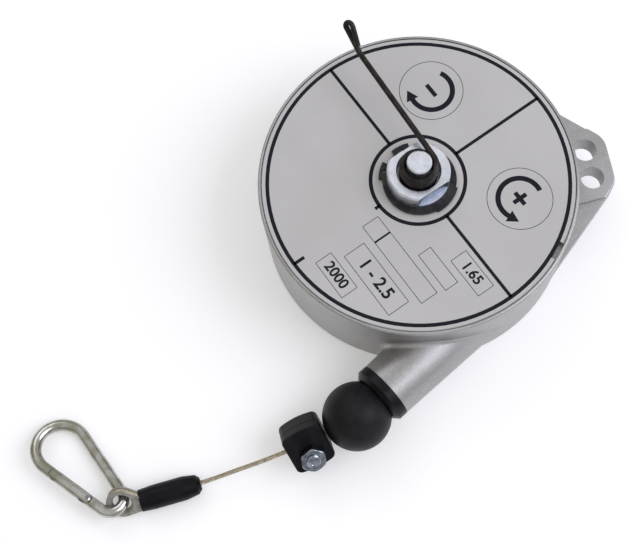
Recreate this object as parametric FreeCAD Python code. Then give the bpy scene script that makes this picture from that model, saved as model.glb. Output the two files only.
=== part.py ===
"""Spring tool balancer, lying on its back: drum axis up (+Z), rope tube along -Y, lug towards +Y.

The origin is on the drum axis at the rear face. Millimetres.
"""
import FreeCAD, Part
import functools
import math
import os

V = FreeCAD.Vector
UP = V(0, 0, 1)

# ---------------------------------------------------------------- driving dimensions
CASE_DIA = 134.2            # over the rim of the housing
CASE_DEPTH = 44.5           # rear face to the face of the rating label
CASE_DRAFT = 0.4            # the casting is this much smaller in radius at its back edge
BACK_WALL = 3.0
SIDE_WALL = 3.4
BACK_EDGE_R = 1.8
RIM_EDGE_R = 0.9
RIM_WALL = 1.3              # rim that stands round the cover

COVER_THICK = 3.0
COVER_CLEAR = 0.1           # radial, cover in its seat
LABEL_THICK = 0.2
LABEL_MARGIN = 0.5          # metal left bare round the label
LABEL_HOLE_R = 15.0
PRY_ANGLE = 18.0            # middle of the pry slot in the cover's edge
PRY_WIDTH = 8.0
PRY_DEPTH = 2.9

ROPE_INSET = 15.0           # rope line inside the housing's outside, on one side
TUBE_HEIGHT = 19.2          # rope line above the rear face
MOUTH_SINK = 0.1            # mouth inside the housing's reach
TUBE_MOUTH_R = 12.8
TUBE_DRAFT = 0.0168         # growth of radius per millimetre towards the housing
TUBE_BORE_R = 10.2
TUBE_ROOT = 3.0             # where the cone starts inside the casting
BUSH_FLANGE = 3.6
BUSH_FLANGE_OVER = 0.1      # flange radius beyond the mouth's
BUSH_LIP = 5.6              # mouth to the end of the bevelled lip
BUSH_LIP_TURN = 0.75        # lip radius as a share of the ball's
BUSH_SPIGOT = 16.0
BUSH_CLEAR = 0.03           # radial, spigot in the tube
BUSH_CHAMFER = 1.0
BUSH_FLARE = 8.0            # length of the flared end of the rope's hole
ROPE_THROAT = 0.8           # radial room round the rope
ROOT_FILLET = 2.0

LUG_RISE = 8.7              # housing to the line of the two eyes
LUG_ANGLE = 58.0
EYE_PITCH = 13.1
EYE_DIA = 10.0
EYE_WALL = 4.6              # round each eye
LUG_BASE = 15.9
LUG_THICK = 10.2
LUG_STEP = 1.8              # side webs lie this much below the pad
LUG_PAD_TURN = 4.2          # each pad edge leans in this many degrees
LUG_PAD_HALF = 17.1         # half width of the pad at the housing

PIN_DIA = 10.2
PIN_STAND = 19.1            # end of the axle pin above the label
PIN_CHAMFER = 0.5
ROTATE_CLEAR = 0.05         # radial running clearance

ARBOR_R = 13.1              # journal through the cover, and the head
ARBOR_CORE_R = 11.0         # where the mainspring winds
ARBOR_TAIL_R = 8.0          # journal of the drum
HEAD_STAND = 10.2           # head above the label
FLAT_AF = 21.6              # across the spanner flats
FLAT_HEIGHT = 6.4
FLAT_TURN = -8.5            # direction of the flats' normal at rest
HEAD_CHAMFER = 0.7
RECESS_ROOM = 0.8           # radial, round the coil
RECESS_FLOOR = 1.4          # recess floor above the label

CLIP_THICK = 1.6
CLIP_R = 15.4
CLIP_OFFSET = 0.8           # its outer circle lies off the axis, away from the gap
CLIP_WIDE_R = 16.9
CLIP_WIDE_HALF = 23.0       # degrees
CLIP_EAR_R = 16.4
CLIP_EAR_END = 38.0         # degrees from the middle of the gap
CLIP_GAP_HALF = 10.8        # degrees
CLIP_EYE_R = 0.9
CLIP_GROOVE_R = 12.3
CLIP_LIFT = 0.1             # under the clip
CLIP_GAP_TURN = -170.6      # middle of the gap between the clip's ears

WIRE_DIA = 2.4              # wrap spring
WRAP_ROOM = 0.6             # radial, between the coil and the pin
WRAP_PITCH = 3.1
WRAP_TURNS = 4
WRAP_TOP = 16.3             # middle of the top turn above the label
TANG_BEND_R = 2.2
TANG_SINK = 0.62            # the tang ends at this share of the pin's radius
ARM_TURN = 169.8            # direction in which the arm leaves
ARM_LENGTH = 55.0
TIP_RISE = 33.0             # degrees
TIP_BEND_R = 6.0
TIP_LENGTH = 12.5
TIP_FOLD_R = 1.6
TIP_FOLD_TURN = 55.0        # the fold starts this many degrees round above the first strand
TIP_KNEE = 1.0              # straight part of the second strand before it turns to the first
TIP_RETURN = 8.7            # length of the second strand
TIP_REST_TURN = 87.0        # where its end lies against the first
TIP_REST_GAP = 0.05

ROPE_DIA = 2.0
DRUM_BASE = 8.0
DRUM_HEADROOM = 5.3         # drum to the cover
DRUM_WEB = 3.0
DRUM_FLANGE = 2.2
DRUM_FLANGE_OVER = 2.9      # flanges beyond the rope line
DRUM_RIM_WALL = 3.4
DRUM_HUB_WALL = 1.5
DRUM_HUB_STEP = 1.6         # height of the hub above the web
DRUM_HUB_FOOT = 4.0
DRUM_HUB_TOP = 3.0
GROOVE_ROOM = 0.6           # winding to each flange
GROOVE_SLOPE = 0.3          # flanges lean out by this
GROOVE_BACK_SLOPE = 0.5
LID_SEAT = 1.6              # step in the rim for the lid
LID_DEPTH = 1.4
LID_THICK = 1.2
LID_CLEAR = 0.05
LID_HOLE = 4.0              # radial, lid to the arbor
WINDING_TURNS = 7
WINDING_PITCH = 2.3
WINDING_LIFT = 0.02         # under the rope, off the groove's floor

STRIP_THICK = 0.6
STRIP_TURNS = 8
STRIP_ROOM = 0.6            # strip to the lid
STRIP_LIFT = 2.0            # above the drum's web
STUD_R = 0.9
STUD_GAP = 0.15             # between the end of the strip and its stud
STUD_SINK = 1.5

BALL_DIA = 29.0
BALL_GAP = 0.1              # ball to its seat in the bush
BALL_DROP = 16.4            # middle of the ball below the mouth
LEAD_START = 16.0           # where the rope is clear of the winding

CLAMP_LENGTH = 17.6
BALL_TO_CLAMP = 0.2847
CLAMP_LEAN = V(-9.6, -30.6, -4.5)       # direction in which the slack rope leaves the ball
CLAMP_WIDTH = 17.0
CLAMP_BULGE = 1.3
CLAMP_FRONT = 5.2           # rope line to the nut's face
CLAMP_BACK = 7.2            # rope line to the back
CLAMP_SPLIT = 0.3
CLAMP_CORNER_R = 2.6
CLAMP_EDGE_R = 0.8
NUT_TURN = 14.0
CLAMP_ROLL = -42.0
ROPE_TO_BOLT = 4.1
ROPE_SHIFT = -0.9           # rope line off the middle of the clamp
BOLT_R = 3.0
NUT_AF = 10.0
NUT_CORNERS = 10.9          # across its turned corners
NUT_HEIGHT = 4.4
HEAD_HEIGHT = 4.0
BOLT_PROUD = 0.3

SLEEVE_R = 5.1
SLEEVE_WALL = 0.9           # at its open end
SLEEVE_TAPER = 7.0          # length of the drawn-in end
SLEEVE_NOSE_R = 2.6
SLEEVE_SHOULDER = V(4.2, 0, 1.6)        # radius and distance from the drawn-in end
SLEEVE_FLARE = 6.0          # length over which the open end narrows
SLEEVE_MOUTH_R = 4.7
SLEEVE_LIP = V(0.4, 0, 2.0)             # its open end is thicker by this, over this length
SLEEVE_GRIP = 5.0           # depth of the part that holds the rope
SLEEVE_ROPE_CLEAR = 0.1
FERRULE_R = 3.3
FERRULE_FLATS = 4.6         # across the crimped flats
FERRULE_LENGTH = 9.0
FERRULE_DEPTH = 8.5         # open end of the sleeve to the ferrule

EYE_ROOM = 1.55             # radial, round the hook's wire in the thimble's hole
EYE_FLARE = 1.1             # the hole widens this much at both faces
EYE_WALL_THICK = 0.6        # hole to the floor of the rope's groove
EYE_FLANGE = 2.6            # hole to the outside
EYE_RING_THICK = 3.6
EYE_LENGTH = 9.6            # eye to the cut end of the thimble
EYE_NECK = 11.5             # eye to where the rope's legs come together
EYE_TURN = 47.0             # direction from the eye to the sleeve
EYE_LEAN = 42.0             # its upper face looks up this many degrees
EYE_SLIP = 0.5              # the hook bears on the sleeve's side of the hole

HOOK_WIRE = 4.9
HOOK_BIG_INSIDE = 8.35      # inside radius of the big bend
HOOK_SMALL_INSIDE = 3.15
HOOK_LENGTH = 52.7          # overall
HOOK_TURN = 183.4           # direction from its small end to its big end
HOOK_PASS = 35.0            # where on the small bend the thimble hangs
HOOK_SLOPE = 3.5            # its small end is propped up by the thimble
HOOK_ROLL = 14.0            # and its gate side too
GATE_PIVOT = 7.6            # end of the small bend to the gate's pivot
GATE_LATCH = 3.9            # end of the big bend to the gate's free end
GATE_SLOT = 2.3
GATE_SLOT_END = 0.7         # room in each slot past its tongue
GATE_RUN = 0.03667          # gate's rounded end to the full wire
LATCH_REACH = 0.4           # end of the full wire to the gate's free end
TONGUE_THICK = 2.0
TONGUE_DROP = 0.3           # tongues are this much lower than the wire on each side
GATE_PIN_R = 0.8
PIN_BORE_CLEAR = 0.02

# ---------------------------------------------------------------- sizes that follow
CASE_R = CASE_DIA / 2
TUBE_OFFSET = CASE_R - ROPE_INSET       # rope line to drum axis, which is also the winding radius
TUBE_MOUTH = CASE_R - MOUTH_SINK        # mouth below the drum axis
LUG_RADIUS = CASE_R + LUG_RISE
COVER_SEAT_R = CASE_R - RIM_WALL
COVER_TOP = CASE_DEPTH - LABEL_THICK
COVER_BASE = COVER_TOP - COVER_THICK
CAVITY_R = CASE_R - SIDE_WALL
ROPE_R = ROPE_DIA / 2
WIRE_R = WIRE_DIA / 2
HOOK_R = HOOK_WIRE / 2
HOOK_BIG_R = HOOK_BIG_INSIDE + HOOK_R   # to the middle of the wire
HOOK_SMALL_R = HOOK_SMALL_INSIDE + HOOK_R
PIVOT_REACH = math.sqrt(HOOK_R ** 2 - (GATE_SLOT / 2) ** 2) + GATE_RUN     # full wire to the gate's pivot
EYE_RING_R = HOOK_R + EYE_ROOM
EYE_GROOVE_R = EYE_RING_R + EYE_WALL_THICK
EYE_FLANGE_R = EYE_RING_R + EYE_FLANGE
PIN_R = PIN_DIA / 2
WRAP_R = PIN_R + WRAP_ROOM + WIRE_R     # to the middle of the wire
RECESS_R = WRAP_R + WIRE_R + RECESS_ROOM
BALL_R = BALL_DIA / 2
WINDING_FLOOR_R = TUBE_OFFSET - ROPE_R
DRUM_FLANGE_R = TUBE_OFFSET + DRUM_FLANGE_OVER
DRUM_RIM_TOP = COVER_BASE - DRUM_HEADROOM
STRIP_BASE = DRUM_BASE + DRUM_WEB + STRIP_LIFT
STRIP_WIDTH = DRUM_RIM_TOP - LID_DEPTH - STRIP_ROOM - STRIP_BASE
BALL_CENTRE = V(TUBE_OFFSET, -TUBE_MOUTH - BALL_DROP, TUBE_HEIGHT)
CLAMP_END = BALL_CENTRE + V(CLAMP_LEAN).normalize() * (BALL_R + BALL_TO_CLAMP + CLAMP_LENGTH)
BELOW_CLAMP = V(CLAMP_END.x, CLAMP_END.y, 0)
ROPE_HIGH = BELOW_CLAMP + V(-4.1, -10.0, 12.2)          # the free rope's way down to the sleeve
ROPE_MIDDLE = BELOW_CLAMP + V(-9.3, -20.5, 9.2)
ROPE_LOW = BELOW_CLAMP + V(-14.3, -31.3, 6.0)
SLEEVE_START = BELOW_CLAMP + V(-16.1, -35.3, 5.3)
SLEEVE_END = BELOW_CLAMP + V(-27.7, -58.7, 5.8)
HOOK_SMALL = BELOW_CLAMP + V(-36.5, -67.6, 0)           # under the middle of the small bend


# ---------------------------------------------------------------- helpers
def polar(radius, degrees, z=0.0):
    """A point on a circle about the Z axis."""
    turn = math.radians(degrees)
    return V(radius * math.cos(turn), radius * math.sin(turn), z)


def cylinder(radius, low, high):
    """A cylinder on the Z axis between two heights."""
    return Part.makeCylinder(radius, high - low, V(0, 0, low))


def ring(outer, inner, low, high):
    """A plain ring on the Z axis."""
    return cylinder(outer, low, high).cut(cylinder(inner, low - 1, high + 1))


def outline(points):
    """A closed face through points in order."""
    return Part.Face(Part.makePolygon(points + [points[0]]))


def turned(profile):
    """A solid of revolution from (radius, height) points."""
    face = outline([V(radius, 0, height) for radius, height in profile])
    return face.revolve(V(0, 0, 0), UP, 360)


def hexagon(across_flats, low, high, centre=V(0, 0, 0)):
    """A hexagonal prism along Z."""
    corner = across_flats / math.sqrt(3)
    points = [centre + polar(corner, 60 * side, low) for side in range(6)]
    return outline(points).extrude(V(0, 0, high - low))


def placed(shape, origin, x_axis, z_axis):
    """Moves a shape from its own frame to origin, with its X and Z along the given directions."""
    x_dir = V(x_axis).normalize()
    z_dir = V(z_axis).normalize()
    y_dir = z_dir.cross(x_dir).normalize()
    x_dir = y_dir.cross(z_dir)
    matrix = FreeCAD.Matrix(
        x_dir.x, y_dir.x, z_dir.x, origin.x,
        x_dir.y, y_dir.y, z_dir.y, origin.y,
        x_dir.z, y_dir.z, z_dir.z, origin.z,
        0, 0, 0, 1)
    copy = shape.copy()
    copy.Placement = FreeCAD.Placement(matrix).multiply(copy.Placement)
    return copy


def swept(edges, radius):
    """A round bar of the given radius along tangent edges."""
    path = Part.Wire(edges)
    first = edges[0]
    start = first.valueAt(first.FirstParameter)
    heading = first.tangentAt(first.FirstParameter)
    section = Part.Wire(Part.makeCircle(radius, start, heading))
    return path.makePipeShell([section], True, False)


def line(start, end):
    """A straight edge."""
    return Part.LineSegment(start, end).toShape()


def arc(start, middle, end):
    """An arc through three points."""
    return Part.Arc(start, middle, end).toShape()


def bend(corner, before, after, radius):
    """The arc of the given radius that rounds a corner between two points."""
    back = (before - corner).normalize()
    ahead = (after - corner).normalize()
    half = back.getAngle(ahead) / 2
    reach = radius / math.tan(half)
    bisector = (back + ahead).normalize()
    middle = corner + bisector * (radius / math.sin(half) - radius)
    return corner + back * reach, middle, corner + ahead * reach


def cord_edges(points):
    """Straight runs joined by tangent arcs, each arc as large as its two runs allow."""
    edges = []
    start = points[0]
    for index in range(1, len(points) - 1):
        before, corner, after = points[index - 1:index + 2]
        run = min((corner - before).Length, (after - corner).Length)
        half_turn = (corner - before).getAngle(after - corner) / 2
        radius = 0.45 * run / math.tan(half_turn)
        print("cord bend radius %.1f mm" % radius)
        first, middle, last = bend(corner, before, after, radius)
        edges.append(line(start, first))
        edges.append(arc(first, middle, last))
        start = last
    edges.append(line(start, points[-1]))
    return edges


# ---------------------------------------------------------------- casing
def housing_casting():
    """Pot casting with the lug, the rope tube, the cover seat and the boss of the axle pin."""
    back_r = CASE_R - CASE_DRAFT
    profile = [
        V(0, 0, 0), V(back_r - BACK_EDGE_R, 0, 0), V(back_r, 0, BACK_EDGE_R),
        V(CASE_R, 0, CASE_DEPTH - RIM_EDGE_R), V(CASE_R - RIM_EDGE_R, 0, CASE_DEPTH), V(0, 0, CASE_DEPTH)]
    back_mid = V(back_r - BACK_EDGE_R * (1 - math.sin(math.pi / 4)), 0, BACK_EDGE_R * (1 - math.cos(math.pi / 4)))
    rim_drop = RIM_EDGE_R * (1 - math.cos(math.pi / 4))
    rim_mid = V(CASE_R - rim_drop, 0, CASE_DEPTH - rim_drop)
    wire = Part.Wire([
        line(profile[0], profile[1]), arc(profile[1], back_mid, profile[2]), line(profile[2], profile[3]),
        arc(profile[3], rim_mid, profile[4]), line(profile[4], profile[5]), line(profile[5], profile[0])])
    pot = Part.Face(wire).revolve(V(0, 0, 0), UP, 360)
    casting = pot.fuse([suspension_lug(), tube_outside()]).removeSplitter()
    casting = casting.makeFillet(ROOT_FILLET, tube_root_edges(casting))
    casting = casting.cut(cavity())
    casting = casting.fuse(ring(ARBOR_TAIL_R + 3, PIN_R, BACK_WALL - 0.5, DRUM_BASE - 2.0))
    casting = casting.cut(cylinder(PIN_R, -1, DRUM_BASE))
    bore = Part.makeCylinder(TUBE_BORE_R, TUBE_MOUTH - 20, V(TUBE_OFFSET, -TUBE_MOUTH - 1, TUBE_HEIGHT), V(0, 1, 0))
    casting = casting.cut(bore)
    for side in (-1, 1):
        casting = casting.cut(cylinder(EYE_DIA / 2, 0, CASE_DEPTH).translated(eye_centre(side)))
    return casting


def eye_centre(side):
    """The middle of one eye of the lug, at the rear plane."""
    return polar(LUG_RADIUS, LUG_ANGLE) + polar(side * EYE_PITCH / 2, LUG_ANGLE + 90)


def suspension_lug():
    """Plate tangent to the pot and rounded about both eyes, its side webs stepped down beside the pad."""
    corner_r = EYE_DIA / 2 + EYE_WALL
    spread = math.degrees(math.acos((CASE_R - CASE_DRAFT - corner_r) / eye_centre(1).Length))
    along = {}
    for side in (-1, 1):
        centre = eye_centre(side)
        eye_turn = math.degrees(math.atan2(centre.y, centre.x))
        tangent = eye_turn + side * spread
        along[side] = (polar(CASE_R - CASE_DRAFT, tangent), centre + polar(corner_r, tangent),
                       centre + polar(corner_r, (tangent + LUG_ANGLE) / 2), centre + polar(corner_r, LUG_ANGLE))
    right, left = along[-1], along[1]
    wire = Part.Wire([
        line(V(0, 0, 0), right[0]), line(right[0], right[1]), arc(right[1], right[2], right[3]),
        line(right[3], left[3]), arc(left[3], left[2], left[1]), line(left[1], left[0]), line(left[0], V(0, 0, 0))])
    plate = Part.Face(wire).extrude(V(0, 0, LUG_THICK)).translated(V(0, 0, LUG_BASE))
    outer_edges = [edge for edge in plate.Edges if abs(edge.CenterOfMass.z - LUG_BASE - LUG_THICK) < 0.01
                   and edge.CenterOfMass.Length > CASE_R]
    plate = plate.makeFillet(0.8, outer_edges)
    step_low = LUG_BASE + LUG_THICK - LUG_STEP
    for side in (-1, 1):
        turn = LUG_ANGLE - side * LUG_PAD_TURN
        foot = polar(CASE_R, LUG_ANGLE) + polar(side * LUG_PAD_HALF, LUG_ANGLE + 90) - polar(20, turn)
        edge_line = [foot, foot + polar(60, turn), foot + polar(60, turn) + polar(side * 60, turn + 90),
                     foot + polar(side * 60, turn + 90)]
        step = outline(edge_line).extrude(V(0, 0, LUG_STEP + 1)).translated(V(0, 0, step_low))
        plate = plate.cut(step)
    return plate


def tube_outside():
    """Drafted cone of the rope tube, from inside the pot to the mouth."""
    length = TUBE_MOUTH - TUBE_ROOT
    base = V(TUBE_OFFSET, -TUBE_ROOT, TUBE_HEIGHT)
    return Part.makeCone(TUBE_MOUTH_R + TUBE_DRAFT * length, TUBE_MOUTH_R, length, base, V(0, -1, 0))


def tube_root_edges(casting):
    """The edges along which the tube runs into the side of the pot."""
    found = []
    for edge in casting.Edges:
        middle = edge.valueAt((edge.FirstParameter + edge.LastParameter) / 2)
        from_axis = math.hypot(middle.x, middle.y)
        on_wall = abs(from_axis - CASE_R) < CASE_DRAFT + 0.5
        from_rope = math.hypot(middle.x - TUBE_OFFSET, middle.z - TUBE_HEIGHT)
        on_tube = abs(from_rope - TUBE_MOUTH_R) < 1.0
        if on_wall and on_tube and middle.y < -TUBE_ROOT:
            found.append(edge)
    return found


def cavity():
    """The hollow of the pot with the seat of the cover."""
    return turned([
        (0, BACK_WALL), (CAVITY_R - CASE_DRAFT - 2, BACK_WALL), (CAVITY_R - CASE_DRAFT, BACK_WALL + 2),
        (CAVITY_R, COVER_BASE - 1), (CAVITY_R, COVER_BASE), (COVER_SEAT_R, COVER_BASE),
        (COVER_SEAT_R, CASE_DEPTH + 1), (0, CASE_DEPTH + 1)])


def pry_slot():
    """The slot in the edge of the cover and label by which the cover is lifted."""
    slot = Part.makeBox(PRY_DEPTH + 5, PRY_WIDTH, 3 * COVER_THICK, V(COVER_SEAT_R - PRY_DEPTH, -PRY_WIDTH / 2, 0))
    slot = slot.translated(V(0, 0, COVER_BASE - COVER_THICK))
    slot.rotate(V(0, 0, 0), UP, PRY_ANGLE)
    return slot


def cover_plate():
    """Flat disc let into the rim, running on the arbor's journal."""
    radius = COVER_SEAT_R - COVER_CLEAR
    edge = 0.3
    disc = turned([(ARBOR_R + ROTATE_CLEAR, COVER_BASE), (radius, COVER_BASE), (radius, COVER_TOP - edge),
                   (radius - edge, COVER_TOP), (ARBOR_R + ROTATE_CLEAR, COVER_TOP)])
    return disc.cut(pry_slot())


def rating_label():
    """Thin printed foil on the cover."""
    foil = ring(COVER_SEAT_R - COVER_CLEAR - LABEL_MARGIN, LABEL_HOLE_R, COVER_TOP, CASE_DEPTH)
    return foil.cut(pry_slot())


def axle_pin():
    """Fixed pin through the whole balancer, with a riveted foot and a window for the wrap spring's tang."""
    top = CASE_DEPTH + PIN_STAND
    pin = turned([(0, 0.2), (PIN_R, 0.2), (PIN_R, top - PIN_CHAMFER), (PIN_R - PIN_CHAMFER, top), (0, top)])
    window = Part.makeBox(PIN_R, 2 * WIRE_DIA, WIRE_DIA + 0.8, V(0, -WIRE_DIA, -WIRE_R - 0.4))
    window = window.translated(V(PIN_R * 0.5, 0, wrap_bottom()))
    window.rotate(V(0, 0, 0), UP, tang_turn() + 5)
    return pin.cut(window)


def thrust_washer():
    """Plain washer between the boss and the arbor and drum."""
    return ring(ARBOR_TAIL_R + 3, PIN_R + ROTATE_CLEAR, DRUM_BASE - 2.0, DRUM_BASE - 1.0)


def rope_guide_bush():
    """Moulded bush in the mouth: flange with a bevelled lip, cup for the ball and flared rope hole."""
    flange_r = TUBE_MOUTH_R + BUSH_FLANGE_OVER
    spigot_r = TUBE_BORE_R - BUSH_CLEAR
    throat_r = ROPE_R + ROPE_THROAT
    body = turned([
        (throat_r, -BUSH_LIP), (BALL_R * BUSH_LIP_TURN, -BUSH_LIP), (flange_r, -BUSH_FLANGE), (flange_r, 0),
        (spigot_r, 0), (spigot_r, BUSH_SPIGOT - BUSH_CHAMFER), (spigot_r - BUSH_CHAMFER, BUSH_SPIGOT),
        (spigot_r - 2 * BUSH_CHAMFER, BUSH_SPIGOT), (throat_r, BUSH_SPIGOT - BUSH_FLARE)])
    bush = placed(body, V(TUBE_OFFSET, -TUBE_MOUTH, TUBE_HEIGHT), V(1, 0, 0), V(0, 1, 0))
    return bush.cut(Part.makeSphere(BALL_R + BALL_GAP, BALL_CENTRE))


# ---------------------------------------------------------------- drum
def rope_drum():
    """Cup with a flanged rope groove outside and the mainspring's room inside."""
    rim_r = WINDING_FLOOR_R
    inner_r = rim_r - DRUM_RIM_WALL
    seat_r = lid_r() + LID_CLEAR
    seat = DRUM_RIM_TOP - LID_DEPTH
    half = WINDING_TURNS * WINDING_PITCH / 2 + GROOVE_ROOM
    low = TUBE_HEIGHT - half
    high = TUBE_HEIGHT + half
    hub_r = drum_hub_r()
    web = DRUM_BASE + DRUM_WEB
    return turned([
        (hub_r, DRUM_BASE), (DRUM_FLANGE_R, DRUM_BASE), (DRUM_FLANGE_R, low - GROOVE_SLOPE), (rim_r, low),
        (rim_r, high), (DRUM_FLANGE_R, high + GROOVE_SLOPE), (DRUM_FLANGE_R, high + DRUM_FLANGE),
        (rim_r, high + DRUM_FLANGE + GROOVE_BACK_SLOPE), (rim_r, DRUM_RIM_TOP), (seat_r, DRUM_RIM_TOP),
        (seat_r, seat), (inner_r, seat), (inner_r, web), (hub_r + DRUM_HUB_FOOT, web),
        (hub_r + DRUM_HUB_TOP, web + DRUM_HUB_STEP), (hub_r, web + DRUM_HUB_STEP)])


def drum_hub_r():
    """Radius of the drum's bore, where its bush is pressed in."""
    return ARBOR_TAIL_R + DRUM_HUB_WALL


def lid_r():
    """Radius of the lid that closes the drum."""
    return WINDING_FLOOR_R - DRUM_RIM_WALL + LID_SEAT


def drum_bush():
    """Plain bearing pressed in the drum, running on the arbor's tail."""
    return ring(drum_hub_r(), ARBOR_TAIL_R + ROTATE_CLEAR, DRUM_BASE, DRUM_BASE + DRUM_WEB + DRUM_HUB_STEP)


def drum_lid():
    """Sheet lid that keeps the mainspring in the drum."""
    seat = DRUM_RIM_TOP - LID_DEPTH
    return ring(lid_r(), ARBOR_CORE_R + LID_HOLE, seat, seat + LID_THICK)


def rope_winding():
    """The wound rope as one corrugated layer, a crest for each turn."""
    low = TUBE_HEIGHT - WINDING_TURNS * WINDING_PITCH / 2
    floor_r = WINDING_FLOOR_R + WINDING_LIFT
    edges = []
    for turn in range(WINDING_TURNS):
        base = low + turn * WINDING_PITCH
        middle = base + WINDING_PITCH / 2
        edges.append(arc(V(TUBE_OFFSET, 0, base), V(TUBE_OFFSET + ROPE_R, 0, middle),
                         V(TUBE_OFFSET, 0, base + WINDING_PITCH)))
    top = low + WINDING_TURNS * WINDING_PITCH
    edges.append(line(V(TUBE_OFFSET, 0, top), V(floor_r, 0, top)))
    edges.append(line(V(floor_r, 0, top), V(floor_r, 0, low)))
    edges.append(line(V(floor_r, 0, low), V(TUBE_OFFSET, 0, low)))
    return Part.Face(Part.Wire(edges)).revolve(V(0, 0, 0), UP, 360)


def strip_radii():
    """Radius of the strip at each half turn, closer together towards the drum's wall."""
    inner = ARBOR_CORE_R + STRIP_THICK
    outer = WINDING_FLOOR_R - DRUM_RIM_WALL - STRIP_THICK - 0.4
    steps = 2 * STRIP_TURNS
    return [inner + (outer - inner) * (step / steps) ** 0.7 for step in range(steps + 1)]


def mainspring():
    """Spiral strip of semicircles between the arbor's stud and the drum's stud."""
    radii = strip_radii()
    sides = {}
    for half in (-STRIP_THICK / 2, STRIP_THICK / 2):
        edges = []
        for step in range(len(radii) - 1):
            sign = 1 if step % 2 == 0 else -1
            start = V(sign * (radii[step] + half), 0, 0)
            centre = V(sign * (radii[step] - radii[step + 1]) / 2, 0, 0)
            radius = (radii[step] + radii[step + 1]) / 2 + half
            middle = centre + V(0, sign * radius, 0)
            end = V(-sign * (radii[step + 1] + half), 0, 0)
            edges.append(arc(start, middle, end))
        sides[half] = edges
    inner, outer = sides[-STRIP_THICK / 2], sides[STRIP_THICK / 2]
    caps = [line(inner[0].Vertexes[0].Point, outer[0].Vertexes[0].Point),
            line(inner[-1].Vertexes[-1].Point, outer[-1].Vertexes[-1].Point)]
    face = Part.Face(Part.Wire(Part.__sortEdges__(inner + outer + caps)))
    return face.extrude(V(0, 0, STRIP_WIDTH)).translated(V(0, 0, STRIP_BASE))


def drum_stud():
    """Stud in the drum's web that holds the outer end of the mainspring."""
    place = V(strip_radii()[-1], STUD_R + STUD_GAP, DRUM_BASE + DRUM_WEB)
    return Part.makeCylinder(STUD_R, STRIP_WIDTH, place)


# ---------------------------------------------------------------- arbor
def tail_base():
    """Rear face of the arbor, on the thrust washer."""
    return DRUM_BASE - 1.0


def arbor():
    """Spring core, journal in the cover and spanner head in one turned piece, with the clutch recess."""
    core_low = STRIP_BASE
    core_high = DRUM_RIM_TOP + 1.0
    groove_low = CASE_DEPTH + CLIP_LIFT - 0.05
    groove_high = groove_low + CLIP_THICK + 0.1
    top = CASE_DEPTH + HEAD_STAND
    bore = PIN_R + ROTATE_CLEAR
    floor = CASE_DEPTH + RECESS_FLOOR
    body = turned([
        (bore, tail_base()), (ARBOR_TAIL_R, tail_base()), (ARBOR_TAIL_R, core_low), (ARBOR_CORE_R, core_low),
        (ARBOR_CORE_R, core_high), (ARBOR_R, core_high + 1), (ARBOR_R, groove_low), (CLIP_GROOVE_R, groove_low),
        (CLIP_GROOVE_R, groove_high), (ARBOR_R, groove_high), (ARBOR_R, top - HEAD_CHAMFER),
        (ARBOR_R - HEAD_CHAMFER, top), (RECESS_R + 0.4, top), (RECESS_R, top - 0.4), (RECESS_R, floor),
        (bore, floor)])
    for turn in (FLAT_TURN, FLAT_TURN + 180):
        flat = Part.makeBox(ARBOR_R, 4 * ARBOR_R, FLAT_HEIGHT + 1, V(FLAT_AF / 2, -2 * ARBOR_R, top - FLAT_HEIGHT))
        flat.rotate(V(0, 0, 0), UP, turn)
        body = body.cut(flat)
    return body.cut(arbor_stud())


def arbor_stud():
    """Stud on the spring core that holds the inner end of the mainspring."""
    middle = STRIP_BASE + STRIP_WIDTH / 2
    place = V(ARBOR_CORE_R - STUD_SINK, -STUD_R - STUD_GAP, middle)
    return Part.makeCylinder(STUD_R, STUD_SINK + STRIP_THICK, place, V(1, 0, 0))


def sector(outer, inner, low, high, middle_turn, half_turn):
    """The part of a ring that spans half_turn degrees either side of a direction."""
    start = middle_turn - half_turn
    wire = Part.Wire([
        arc(polar(outer, start, low), polar(outer, middle_turn, low), polar(outer, start + 2 * half_turn, low)),
        line(polar(outer, start + 2 * half_turn, low), polar(inner, start + 2 * half_turn, low)),
        arc(polar(inner, start + 2 * half_turn, low), polar(inner, middle_turn, low), polar(inner, start, low)),
        line(polar(inner, start, low), polar(outer, start, low))])
    return Part.Face(wire).extrude(V(0, 0, high - low))


def arbor_clip():
    """Retaining ring on the arbor: narrowing towards its gap, with two ears and a wide part opposite."""
    low = CASE_DEPTH + CLIP_LIFT
    high = low + CLIP_THICK
    bore = CLIP_GROOVE_R + 0.02
    back = CLIP_GAP_TURN + 180
    clip = cylinder(CLIP_R, low, high).translated(polar(CLIP_OFFSET, back))
    clip = clip.fuse(sector(CLIP_WIDE_R, bore, low, high, back, CLIP_WIDE_HALF))
    clip = clip.fuse(sector(CLIP_EAR_R, bore, low, high, CLIP_GAP_TURN, CLIP_EAR_END))
    clip = clip.cut(cylinder(bore, low - 1, high + 1))
    clip = clip.cut(sector(2 * CLIP_R, bore / 2, low - 1, high + 1, CLIP_GAP_TURN, CLIP_GAP_HALF))
    for side in (-1, 1):
        turn = CLIP_GAP_TURN + side * (CLIP_GAP_HALF + CLIP_EAR_END) / 2
        clip = clip.cut(cylinder(CLIP_EYE_R, low - 1, high + 1).translated(polar((bore + CLIP_EAR_R) / 2, turn)))
    return clip.removeSplitter()


# ---------------------------------------------------------------- wrap spring and lever
def wrap_bottom():
    """Height of the middle of the lowest turn."""
    return CASE_DEPTH + WRAP_TOP - WRAP_PITCH * WRAP_TURNS


def tang_turn():
    """Direction in which the anchored end points at the pin."""
    return ARM_TURN - 90


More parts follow.
